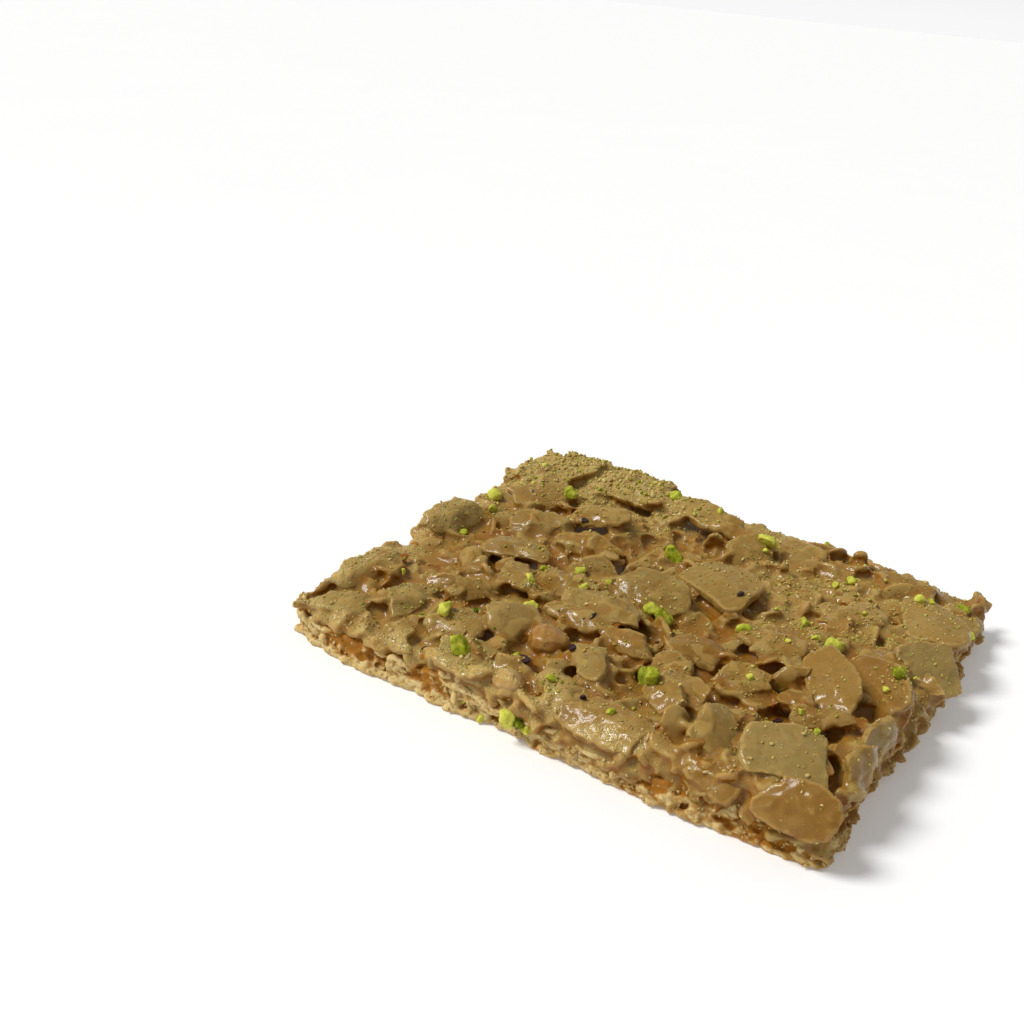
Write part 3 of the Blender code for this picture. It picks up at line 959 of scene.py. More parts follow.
def chopped_lumps(count: int, seed: int) -> list[Shape]:
    """Model bits of nut that a knife has chopped: flat faces, blunt edges and a crumbly skin.

    Args:
        count: How many different ones.
        seed: The seed of their cuts.

    Returns:
        Their shapes.
    """
    chance = np.random.default_rng(seed)
    shapes = []
    for number in range(count):
        bpy.ops.object.select_all(action="DESELECT")
        bpy.ops.mesh.primitive_ico_sphere_add(subdivisions=3, radius=0.56 * MM)
        bit = bpy.context.object
        bpy.ops.object.mode_set(mode="EDIT")
        for _ in range(7):
            outward = Vector(chance.normal(size=3)).normalized()
            cut_off(outward * chance.uniform(0.22, 0.42) * MM, outward)
        bpy.ops.object.mode_set(mode="OBJECT")
        remesh(bit, 0.055)
        smooth(bit, 3)
        roughen(bit, (Grain(0.035, (0.3, 0.3, 0.3), Relief.SMOOTH, 5.0 * number),
                      Grain(0.02, (0.12, 0.12, 0.12), Relief.SMOOTH, 2.0 * number)))
        thin_out(bit, 900)
        shapes.append(Shape.of(bit))
    return shapes


def broken_slices(count: int, seed: int) -> list[Shape]:
    """Model broken slices of almond: thin, arched, round on some sides and snapped on others.

    Args:
        count: How many different ones.
        seed: The seed of their breaks.

    Returns:
        Their shapes.
    """
    chance = np.random.default_rng(seed)
    shapes = []
    for _ in range(count):
        bpy.ops.object.select_all(action="DESELECT")
        bpy.ops.mesh.primitive_cylinder_add(vertices=18, radius=0.5 * MM, depth=0.16 * MM)
        bit = bpy.context.object
        bpy.ops.object.mode_set(mode="EDIT")
        bpy.ops.transform.resize(value=(1.0, chance.uniform(0.35, 0.85), 1.0))
        for _ in range(int(chance.integers(2, 5))):
            turn = chance.uniform(0, 2 * math.pi)
            outward = Vector((math.cos(turn), math.sin(turn), chance.uniform(-0.3, 0.3)))
            cut_off(outward * chance.uniform(0.12, 0.34) * MM, outward)
        bpy.ops.mesh.select_all(action="SELECT")
        bpy.ops.mesh.quads_convert_to_tris()
        bpy.ops.mesh.subdivide(number_cuts=2)
        bpy.ops.object.mode_set(mode="OBJECT")
        corners = corners_of(bit.data)
        arch = chance.uniform(-0.55, 0.55)
        corners[:, 2] += arch * (corners[:, 0] / MM) ** 2 * MM
        set_corners(bit.data, corners)
        shapes.append(Shape.of(bit))
    return shapes


@dataclass
class Heap:
    """Many copies of a few shapes, joined into one piece."""

    name: str
    shapes: Sequence[Shape]
    seed: int
    corners: list[np.ndarray] = field(default_factory=list)
    faces: list[np.ndarray] = field(default_factory=list)
    tones: list[np.ndarray] = field(default_factory=list)
    start: int = 0

    def __post_init__(self) -> None:
        """Set up the source of chance."""
        self.chance = np.random.default_rng(self.seed)

    def put(self, shaped: np.ndarray, faces: np.ndarray, turn: Quaternion, centre: Vector, tone: float) -> None:
        """Add one copy as it is.

        Args:
            shaped: Its corners about its middle, in millimetres.
            faces: Its faces.
            turn: The way it lies.
            centre: Its middle, in metres.
            tone: Its tone.
        """
        turned = (shaped @ np.array(turn.to_matrix()).T) * MM + np.array(centre)
        turned[:, 2] -= max(turned[:, 2].max() - (CAD_HIGH.z + HEADROOM * MM), 0.0)
        turned[:, 2] += max(-turned[:, 2].min(), 0.0)
        self.corners.append(turned)
        self.faces.append(faces + self.start)
        self.tones.append(np.full(len(turned), tone))
        self.start += len(turned)

    def add(self, place: Vector, size: float, tone: float, facing: Vector | None = None, sink: float = 0.25) -> None:
        """Lay one copy on the slab.

        Args:
            place: Where the surface is, in metres.
            size: The length of the copy, in millimetres.
            tone: Its tone.
            facing: The direction that the surface faces, or None for straight up.
            sink: How much of its height is pressed into the surface.
        """
        shape = self.shapes[int(self.chance.integers(len(self.shapes)))]
        up = facing or Vector((0.0, 0.0, 1.0))
        turn = up.to_track_quat("Z", "Y") @ Quaternion((0, 0, 1), self.chance.uniform(0, 2 * math.pi))
        turn = turn @ Euler((self.chance.normal(0, 0.35), self.chance.normal(0, 0.35), 0)).to_quaternion()
        stretch = np.array([1.0, self.chance.uniform(0.6, 1.0), self.chance.uniform(0.55, 0.85)])
        shaped = shape.corners * stretch * size
        half = float(-shaped[:, 2].min())
        self.put(shaped, shape.faces, turn, place + up * (half * (1.0 - 2.0 * sink)) * MM, tone)

    def finish(self) -> bpy.types.Object:
        """Join all the copies into one mesh."""
        mesh = bpy.data.meshes.new(self.name)
        mesh.from_pydata(np.concatenate(self.corners).tolist(), [], np.concatenate(self.faces).tolist())
        thing = bpy.data.objects.new(self.name, mesh)
        bpy.context.scene.collection.objects.link(thing)
        set_values(mesh, "tone", np.concatenate(self.tones))
        return thing


# ---------------------------------------------------------------------------------------------
# The pastry
# ---------------------------------------------------------------------------------------------


@dataclass(frozen=True)
class Leaf:
    """A leaf of pastry: how high it lies, how thick it is and how far its torn edge stands out."""

    height: float
    thickness: float
    reach: float


@dataclass
class PastrySheet:
    """A sheet of baked leaves, crumbly along the sides where a knife went through."""

    solids: Surface
    node: str = "pastry_base"
    points: int = 620
    band: float = 3.6
    leaves: tuple[Leaf, ...] = (
        Leaf(0.60, 1.20, 0.15),
        Leaf(1.95, 0.60, -0.45),
        Leaf(2.95, 0.90, 0.10),
        Leaf(4.20, 0.90, -0.05),
    )
    crumbs: int = 3000
    voxel: float = 0.3
    most: int = 190000
    grains: tuple[Grain, ...] = (
        Grain(0.2, (1.5, 1.5, 1.2), Relief.SMOOTH, 3.0),
        Grain(0.1, (0.5, 0.5, 0.45), Relief.SMOOTH, 9.0),
    )
    tree: BVHTree = field(init=False)

    def __post_init__(self) -> None:
        """Get the solid ready to measure."""
        self.tree = BVHTree.FromObject(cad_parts[self.node], bpy.context.evaluated_depsgraph_get())
        self.low, self.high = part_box(self.node)

    def rim(self, share: float, height: float) -> Vector:
        """Find the sheet's edge.

        Args:
            share: How far round the sheet, from 0 to 1.
            height: How high up, in millimetres.

        Returns:
            The place on the edge, in metres.
        """
        turn = 2.0 * math.pi * share
        reach = 0.5 * max(self.high.x - self.low.x, self.high.y - self.low.y)
        square = 1.0 / max(abs(math.cos(turn)), abs(math.sin(turn)))
        outside = Vector((math.cos(turn), math.sin(turn), 0.0)) * square * reach * 1.2
        outside.y *= (self.high.y - self.low.y) / (self.high.x - self.low.x)
        outside.z = height * MM
        place = self.tree.ray_cast(outside, Vector((-outside.x, -outside.y, 0.0)).normalized())[0]
        return place if place is not None else outside / 1.2

    def wall(self, share: float, height: float) -> Vector:
        """Find the outside of the whole slab in the same way, also above the pastry."""
        rim = self.rim(share, min(height, 4.0))
        outward = Vector((rim.x, rim.y, 0.0)).normalized()
        start = Vector((rim.x, rim.y, height * MM)) + outward * 6 * MM
        hit = self.solids.strike(start, -outward)
        if hit is None or (hit[0] - rim).length > 5.5 * MM:
            return Vector((rim.x, rim.y, height * MM)) - outward * 0.4 * max(height - 4.0, 0.0) * MM
        return hit[0]

    def build(self) -> tuple[bpy.types.Object, bpy.types.Object]:
        """Make the plain middle of the sheet and the torn leaves along its sides."""
        return self._middle(), self._sides()

    def _middle(self) -> bpy.types.Object:
        """Make the middle of the sheet: the solid's own shape, drawn in a little, with a baked underside."""
        middle = copy_node(self.node, "pastry_core")
        remesh(middle, 0.8)
        corners = corners_of(middle.data)
        corners[:, :2] *= 0.975
        set_corners(middle.data, corners)
        roughen(middle, (Grain(0.12, (2.4, 2.4, 2.4)), Grain(0.08, (0.9, 0.9, 0.9))))
        keep_on_table(middle)
        self._mark(middle)
        return middle

    def _torn(self, number: int, place: Vector) -> float:
        """Give how far a leaf's edge stands out at a place, in millimetres, from its own torn line."""
        torn = 0.0
        for size, depth in ((7.0, 0.9), (2.4, 0.8), (1.0, 0.35)):
            torn += depth * noise.noise(Vector((place.x / MM / size, place.y / MM / size, number * 5.3)))
        return min(torn, 0.5)

    def _leaf(self, number: int, leaf: Leaf) -> bpy.types.Object:
        """Make one leaf as a closed band round the sheet."""
        insets = (0.0, 0.5, 1.4, self.band)
        rings = []
        for index in range(self.points):
            rim = self.rim(index / self.points, min(leaf.height, 4.1))
            inward = Vector((-rim.x, -rim.y, 0.0)).normalized()
            edge = leaf.reach + 1.15 * self._torn(number, rim)
            lower, upper = [], []
            for step, inset in enumerate(insets):
                place = rim + inward * (inset - edge) * MM
                spot = Vector((place.x / MM / 4.0, place.y / MM / 4.0, number * 2.9))
                middle = leaf.height + 0.7 * noise.noise(spot)
                fullness = 1.0 + 0.9 * noise.noise(spot * 2.3)
                half = 0.5 * leaf.thickness * fullness * (0.45 if step == 0 else 1.0)
                lower.append(Vector((place.x, place.y, max(middle - half, 0.0) * MM)))
                upper.append(Vector((place.x, place.y, max(middle + half, 0.2) * MM)))
            rings.append(lower + upper[::-1])
        return loft(f"leaf_{number}", rings)

    def _sides(self) -> bpy.types.Object:
        """Fuse the leaves with the crumbs between them into one crumbly skin."""
        parts = [self._leaf(number, leaf) for number, leaf in enumerate(self.leaves)]
        parts.append(self._backing())
        parts.append(self._crumbs())
        sides = join("pastry_leaves", parts)
        remesh(sides, self.voxel)
        smooth(sides, 3)
        roughen(sides, self.grains)
        keep_on_table(sides)
        thin_out(sides, self.most)
        shed_loose(sides)
        self._mark(sides)
        return sides

    def _backing(self) -> bpy.types.Object:
        """Make the soaked pastry that shows between the leaves, set back from the edge."""
        rings = []
        for index in range(self.points):
            rim = self.rim(index / self.points, 2.0)
            inward = Vector((-rim.x, -rim.y, 0.0)).normalized()
            front = rim + inward * (0.95 - 0.5 * self._torn(9, rim)) * MM
            back = rim + inward * self.band * MM
            rings.append([
                Vector((front.x, front.y, 0.1 * MM)), Vector((back.x, back.y, 0.1 * MM)),
                Vector((back.x, back.y, 4.3 * MM)), Vector((front.x, front.y, 4.3 * MM)),
            ])
        return loft("backing", rings)

    def _crumbs(self) -> bpy.types.Object:
        """Strew crumbs along the side, in clusters."""
        heap = Heap("side_crumbs", ball_lumps(5, 2), 29)
        for _ in range(self.crumbs):
            share = heap.chance.uniform()
            height = float(heap.chance.uniform(0.2, 6.6))
            height *= 1.0 - 0.4 * overrun(self.rim(share, 2.0).x / MM)
            rim = self.wall(share, height)
            cluster = noise.noise(Vector((rim.x, rim.y, height * MM * 1.6)) / MM / 3.4)
            if heap.chance.uniform() > 0.5 + 1.0 * cluster:
                continue
            inward = Vector((-rim.x, -rim.y, 0.0)).normalized()
            size = float(np.clip(heap.chance.lognormal(0.2, 0.5), 0.6, 3.4))
            place = rim + inward * (0.3 * size - 0.12 * max(height - 3.0, 0.0)) * MM
            place.z = max(height, 0.4 * size) * MM
            heap.add(place, size, 0.5, -inward, 0.5)
        return heap.finish()

    def _mark(self, thing: bpy.types.Object) -> None:
        """Keep how the surface bends, how deep it lies behind the rim, and where caramel or the tray were."""
        mesh = thing.data
        corners = corners_of(mesh)
        set_values(mesh, "bend", sharpness_of(mesh, 1))
        depth = np.empty(len(corners))
        for index, corner in enumerate(corners):
            rim = self.rim(math.atan2(corner[1] / self.high.y, corner[0] / self.high.x) / (2.0 * math.pi), 2.0)
            depth[index] = math.hypot(rim.x, rim.y) - math.hypot(corner[0], corner[1])
        soak = np.clip((depth / MM - 0.15) / 1.1, 0.0, 1.0)
        over = np.array([overrun(x / MM) for x in corners[:, 0]])
        set_values(mesh, "soak", np.clip(soak + 0.15 * over, 0.0, 1.0))
        set_values(mesh, "over", over)
        underneath = np.clip(1.0 - corners[:, 2] / (0.35 * MM), 0.0, 1.0)
        set_values(mesh, "crust", underneath)


# ---------------------------------------------------------------------------------------------
# The caramel and its almonds
# ---------------------------------------------------------------------------------------------


@dataclass
class Splinters:
    """Broken bits of sliced almond that lie at all angles between and over the large slices."""

    count: int = 860
    rim_count: int = 900
    thickness: float = 0.95
    seed: int = 41

    def build(self, solids: Surface, sheet: PastrySheet) -> bpy.types.Object:
        """Strew the splinters over the caramel and along its sides.

        Args:
            solids: The solids of the slab, to find the height of the top.
            sheet: The pastry, to find the rim.

        Returns:
            The splinters, joined.
        """
        heap = Heap("almond_splinters", broken_slices(18, self.seed), self.seed)
        chance = heap.chance
        laid = 0
        while laid < self.count:
            x = chance.uniform(CAD_LOW.x, CAD_HIGH.x) / MM * 0.97
            y = chance.uniform(CAD_LOW.y, CAD_HIGH.y) / MM * 0.97
            owner = solids.owner(x, y)
            over = owner != "caramel_nut_layer"
            if not owner or owner in BARE or (over and chance.uniform() > 0.28):
                continue
            if hollowing(x, y) > 0.5:
                continue
            top = solids.level(x, y) + chance.normal(0.7 if over else 0.3, 0.7)
            length = float(np.clip(chance.lognormal(1.68, 0.3), 2.8, 9.5))
            self._lay(heap, x, y, top, length, chance.normal(0, 42), chance.normal(0, 18), 4.3)
            laid += 1
        for _ in range(self.rim_count):
            rim = sheet.rim(chance.uniform(), 3.9)
            covered = overrun(rim.x / MM)
            if chance.uniform() > 0.5 + covered:
                continue
            depth = chance.uniform(0.7, 2.4) - 1.5 * covered * chance.uniform()
            inward = Vector((-rim.x, -rim.y)).normalized() * depth
            x, y = rim.x / MM + inward.x, rim.y / MM + inward.y
            low = 5.4 - 3.6 * covered
            top = chance.uniform(low, max(solids.level(x, y) + 0.6, low + 0.4))
            length = chance.uniform(2.4, 5.2)
            self._lay(heap, x, y, top, length, chance.normal(0, 40), chance.normal(0, 20), 4.2 - 3.6 * covered)
        return heap.finish()

    def _lay(
        self, heap: Heap, x: float, y: float, top: float, length: float, lean: float, climb: float, low: float
    ) -> None:
        """Lay one splinter with its highest side at this height.

        Args:
            heap: What it is added to.
            x: Its middle across, in millimetres.
            y: Its middle away.
            top: The height of its highest side.
            length: Its length.
            lean: How far it leans to its side, in degrees.
            climb: How far its end is lifted.
            low: The height that it stays above.
        """
        shape = heap.shapes[int(heap.chance.integers(len(heap.shapes)))]
        shaped = shape.corners * np.array([length, length, self.thickness / 0.16])
        heading = heap.chance.uniform(0, 2 * math.pi)
        turn = Euler((math.radians(lean), math.radians(climb), heading)).to_quaternion()
        reach = (shaped @ np.array(turn.to_matrix()).T)[:, 2]
        top = min(top, CAD_HIGH.z / MM - 0.4)
        centre = Vector((x, y, max(top - float(reach.max()), low - float(reach.min())))) * MM
        heap.put(shaped, shape.faces, turn, centre, heap.chance.uniform(0.05, 0.95))


@dataclass
class CaramelCoat:
    """Caramel that fills the room between the slices and runs over their edges."""

    node: str = "caramel_nut_layer"
    voxel: float = 0.34
    swell: float = 0.35
    settle: float = 0.27
    closing: float = 0.55
    proud: float = 0.0
    bared: float = 0.24
    most: int = 197000
    grains: tuple[Grain, ...] = (
        Grain(0.2, (3.0, 3.0, 3.0), Relief.SMOOTH, 1.0),
        Grain(0.1, (1.2, 1.2, 1.2), Relief.SMOOTH, 7.0),
    )

    def build(
        self, slices: Sequence[bpy.types.Object], splinters: bpy.types.Object, sheet: PastrySheet
    ) -> bpy.types.Object:
        """Cast the coat round the almonds.

        Args:
            slices: The large slices and the rounded pieces.
            splinters: Small slices to bury as well.
            sheet: The pastry, to find the rim.

        Returns:
            The coat.
        """
        layer = copy_node(self.node, "caramel_coat")
        corners = corners_of(layer.data)
        floor = float(corners[:, 2].min())
        corners[:, 2] -= (corners[:, 2] - floor) * self.settle
        set_corners(layer.data, corners)
        remesh(layer, 0.8)
        corners = corners_of(layer.data)
        sunk = np.array([hollowing(x, y) for x, y, _ in corners / MM]) * MM
        upper = corners[:, 2] > floor + 0.5 * MM
        corners[upper, 2] = np.maximum(corners[upper, 2] - sunk[upper], floor + 0.3 * MM)
        set_corners(layer.data, corners)
        push(layer, self.swell)
        self.almond_surface = Surface([*slices, splinters])
        inside = [self._copy(piece) for piece in slices]
        coat = join("caramel_coat", [layer, *inside, splinters, self._runs(sheet)])
        remesh(coat, self.voxel * 1.2)
        push(coat, self.closing)
        remesh(coat, self.voxel)
        push(coat, self.proud - self.closing)
        smooth(coat, 1)
        thin_out(coat, self.most)
        shed_loose(coat)
        roughen(coat, self.grains)
        keep_on_table(coat)
        return coat

    def _copy(self, piece: bpy.types.Object) -> bpy.types.Object:
        """Copy a finished piece, smaller if it lies bare, so that the coat stays below it."""
        copy = bpy.data.objects.new(f"inside_{piece.name}", piece.data.copy())
        bpy.context.scene.collection.objects.link(copy)
        if piece.name.replace("coated", "almond") in BARE:
            push(copy, -self.bared)
        return copy

    def _runs(self, sheet: PastrySheet) -> bpy.types.Object:
        """Make the caramel that has run down over the side of the pastry."""
        heap = Heap("caramel_runs", ball_lumps(4, 2), 77)
        for _ in range(300):
            share = heap.chance.uniform()
            height = float(heap.chance.uniform(4.0, 5.6))
            rim = sheet.rim(share, 4.0)
            covered = overrun(rim.x / MM)
            height -= 2.8 * covered * heap.chance.uniform()
            size = heap.chance.uniform(1.2, 2.6)
            inward = Vector((-rim.x, -rim.y, 0.0)).normalized()
            place = rim + inward * (0.5 * size + 0.9 - 0.8 * covered) * MM
            place.z = height * MM
            heap.add(place, size, 0.3, -inward, 0.5)
        return heap.finish()

    def tones(self, coat: bpy.types.Object) -> np.ndarray:
        """Give each corner of the coat its tone: that of the almond just under it, or golden where it is deep."""
        tree, tones = self.almond_surface.tree, self.almond_surface.tones
        values = np.full(len(coat.data.vertices), Tone.GOLDEN.value)
        for index, corner in enumerate(corners_of(coat.data)):
            face, distance = tree.find_nearest(Vector(corner), 2.0 * MM)[2:]
            if face is not None:
                thin = min(max(1.0 - (distance / MM - 0.3) / 0.9, 0.0), 1.0)
                values[index] += (tones[face] - values[index]) * thin
        return values


@dataclass
class CoatedSlice:
    """A slice of almond under a thin coat: snapped here and there, warped by the heat and a little tilted."""

    node: str
    seed: int
    voxel: float = 0.32
    proud: float = 0.3
    drawn_in: float = 0.45
    tilt: float = 7.0
    grains: tuple[Grain, ...] = (
        Grain(0.08, (3.4, 3.4, 3.4), Relief.SMOOTH, 5.0),
        Grain(0.03, (0.9, 0.9, 0.9), Relief.SMOOTH, 2.0),
    )
    creases: tuple[Grain, ...] = (
        Grain(0.07, (2.2, 2.2, 2.2), Relief.RIDGED, 8.0),
        Grain(0.05, (1.1, 1.1, 1.1), Relief.SMOOTH, 4.0),
    )

    def __post_init__(self) -> None:
        """Set up the source of chance, and find out whether the slice lies bare."""
        self.chance = np.random.default_rng(self.seed)
        self.bare = self.node in BARE
        self.rounded = "piece" in self.node

    def build(self) -> bpy.types.Object:
        """Make the slice from its solid."""
        thing = copy_node(self.node, self.node.replace("almond", "coated"))
        frame_of = self._frame(thing)
        if self.rounded:
            push(thing, -self.drawn_in)
        elif self.bare:
            push(thing, self.proud)
            self._snap(thing, *frame_of)
        else:
            self._snap(thing, *frame_of)
        remesh(thing, self.voxel)
        shed_loose(thing)
        self._warp(thing, *frame_of)
        smooth(thing, 2)
        roughen(thing, self.grains)
        if self.bare:
            roughen(thing, self.creases)
        keep_on_table(thing)
        set_values(thing.data, "tone", np.full(len(thing.data.vertices), self._tone()))
        return thing

    def _tone(self) -> float:
        """Give the slice its tone: its own, or one picked by chance near the usual."""
        usual = TONES.get(self.node)
        return usual.value if usual else float(self.chance.uniform(0.2, 0.75))

    def _frame(self, thing: bpy.types.Object) -> tuple[np.ndarray, np.ndarray]:
        """Give the middle of the slice and its three axes, the longest first."""
        corners = corners_of(thing.data).astype(float)
        middle = corners.mean(axis=0)
        axes = np.linalg.svd(corners - middle, full_matrices=False)[2]
        return middle, axes

    def _snap(self, thing: bpy.types.Object, middle: np.ndarray, axes: np.ndarray) -> None:
        """Break straight bits off its outline."""
        corners = corners_of(thing.data) - middle
        select_only(thing)
        bpy.ops.object.mode_set(mode="EDIT")
        for _ in range(int(self.chance.integers(2, 5))):
            turn = self.chance.uniform(0, 2 * math.pi)
            outward = axes[0] * math.cos(turn) + axes[1] * math.sin(turn) + axes[2] * self.chance.uniform(-0.5, 0.5)
            outward /= np.linalg.norm(outward)
            extent = float((corners @ outward).max())
            left = self.chance.uniform(0.66, 0.9) if self.bare else self.chance.uniform(0.5, 0.85)
            cut_off(Vector(middle + outward * extent * left), Vector(outward))
        bpy.ops.object.mode_set(mode="OBJECT")

    def _warp(self, thing: bpy.types.Object, middle: np.ndarray, axes: np.ndarray) -> None:
        """Bend its outline and its faces unevenly, and tilt it."""
        corners = corners_of(thing.data).astype(float)
        share = 0.4 if self.bare else 1.0
        top = corners[:, 2].max()
        for index, corner in enumerate(corners):
            spot = Vector(corner) / MM
            move = np.array(noise.noise_vector(spot / 4.5 + Vector((self.seed * 3.1, 0, 0))))
            move += 0.4 * np.array(noise.noise_vector(spot / 1.7))
            move -= 0.55 * axes[2] * (move @ axes[2])
            corners[index] += move * share * MM
        if not self.bare:
            turn = Matrix.Rotation(math.radians(self.chance.normal(0, self.tilt)), 3, Vector(axes[0]))
            turn = turn @ Matrix.Rotation(math.radians(self.chance.normal(0, 0.7 * self.tilt)), 3, Vector(axes[1]))
            corners = (corners - middle) @ np.array(turn).T + middle
        corners[:, 2] -= max(corners[:, 2].max() - top - 0.5 * MM, 0.0)
        set_corners(thing.data, corners)


# ---------------------------------------------------------------------------------------------
# Loose bits
# ---------------------------------------------------------------------------------------------


@dataclass(frozen=True)
class Nib:
    """A piece of chopped pistachio: its place on the slab, its length and how bright it is."""

    x: float
    y: float
    length: float
    tone: float = 0.55


NIBS = (
    Nib(-38.5, -30.0, 3.0), Nib(-24.0, -35.5, 5.0, 0.8), Nib(-16.0, -42.5, 6.5), Nib(-24.0, -26.0, 6.0, 0.15),
    Nib(-9.0, -36.0, 2.5), Nib(1.0, -41.5, 3.0), Nib(10.5, -27.5, 5.5, 0.45), Nib(14.0, -33.0, 5.0, 0.5),
    Nib(-16.5, -19.5, 4.0, 0.9), Nib(-19.0, -16.5, 3.0, 0.9), Nib(-15.5, -4.0, 4.0, 0.7), Nib(-19.5, -11.0, 2.5),
    Nib(-10.5, -12.0, 2.5, 0.8), Nib(4.0, -8.5, 6.0, 0.6), Nib(1.0, -7.5, 4.0, 0.7), Nib(18.0, -5.5, 4.5, 0.6),
    Nib(31.5, 3.0, 5.5, 0.75), Nib(28.5, 1.5, 3.0, 0.8), Nib(27.0, 6.5, 3.0, 0.7), Nib(24.0, 9.0, 3.0, 0.7),
    Nib(34.0, 9.5, 3.0, 0.9), Nib(39.5, 11.5, 3.0, 0.9), Nib(45.0, -7.5, 4.0, 0.4), Nib(40.5, -34.0, 2.0, 0.6),
    Nib(31.5, -26.5, 2.0, 0.9), Nib(36.0, -27.0, 2.0, 0.7), Nib(25.5, -21.5, 2.0, 0.8), Nib(-48.5, 16.5, 5.0, 1.0),
    Nib(-45.0, 21.5, 3.0, 0.9), Nib(-43.0, 7.5, 3.5, 0.7), Nib(-39.0, 10.0, 3.5, 0.6), Nib(-37.5, 18.0, 3.0, 0.5),
    Nib(-33.5, 22.5, 4.0, 0.6), Nib(-25.0, -3.0, 3.0, 0.9), Nib(-28.5, 14.0, 3.0, 0.6), Nib(-43.0, -2.5, 3.0),
    Nib(-49.0, 9.0, 3.0, 0.9), Nib(-15.5, 36.5, 4.8, 0.6), Nib(-6.0, 16.5, 6.0, 0.5), Nib(7.5, 30.5, 5.5, 0.8),
    Nib(14.5, 22.5, 3.5, 0.8), Nib(25.5, 30.0, 3.0, 0.8), Nib(23.0, 29.0, 3.0, 0.7), Nib(32.5, 23.5, 3.0, 0.8),
    Nib(39.0, 28.0, 3.5, 1.0), Nib(45.5, 25.0, 3.5, 0.7), Nib(48.5, 29.5, 3.0, 0.8), Nib(45.5, 36.5, 5.0, 0.45),
)

SIDE_NIBS = (   # on the near side: x, height, length and tone
    (-11.0, 3.0, 4.0, 0.7), (-9.0, 0.9, 1.8, 0.8), (-1.5, 3.9, 4.0, 0.15), (-3.0, 4.4, 4.0, 0.9),
    (0.0, 3.2, 3.2, 0.8),
)

FLECKS = (      # of nut skin: x, y and length
    (-22.5, -42.5, 2.5), (-3.5, -21.0, 3.0), (-1.0, -32.0, 2.5), (7.0, -42.0, 3.0), (-6.5, -37.5, 3.0),
    (31.5, -23.5, 3.0), (24.5, -27.5, 2.0), (40.0, -10.0, 2.5), (-25.0, 14.0, 3.0), (12.5, 5.0, 2.5),
    (-21.0, -11.5, 2.0),
)


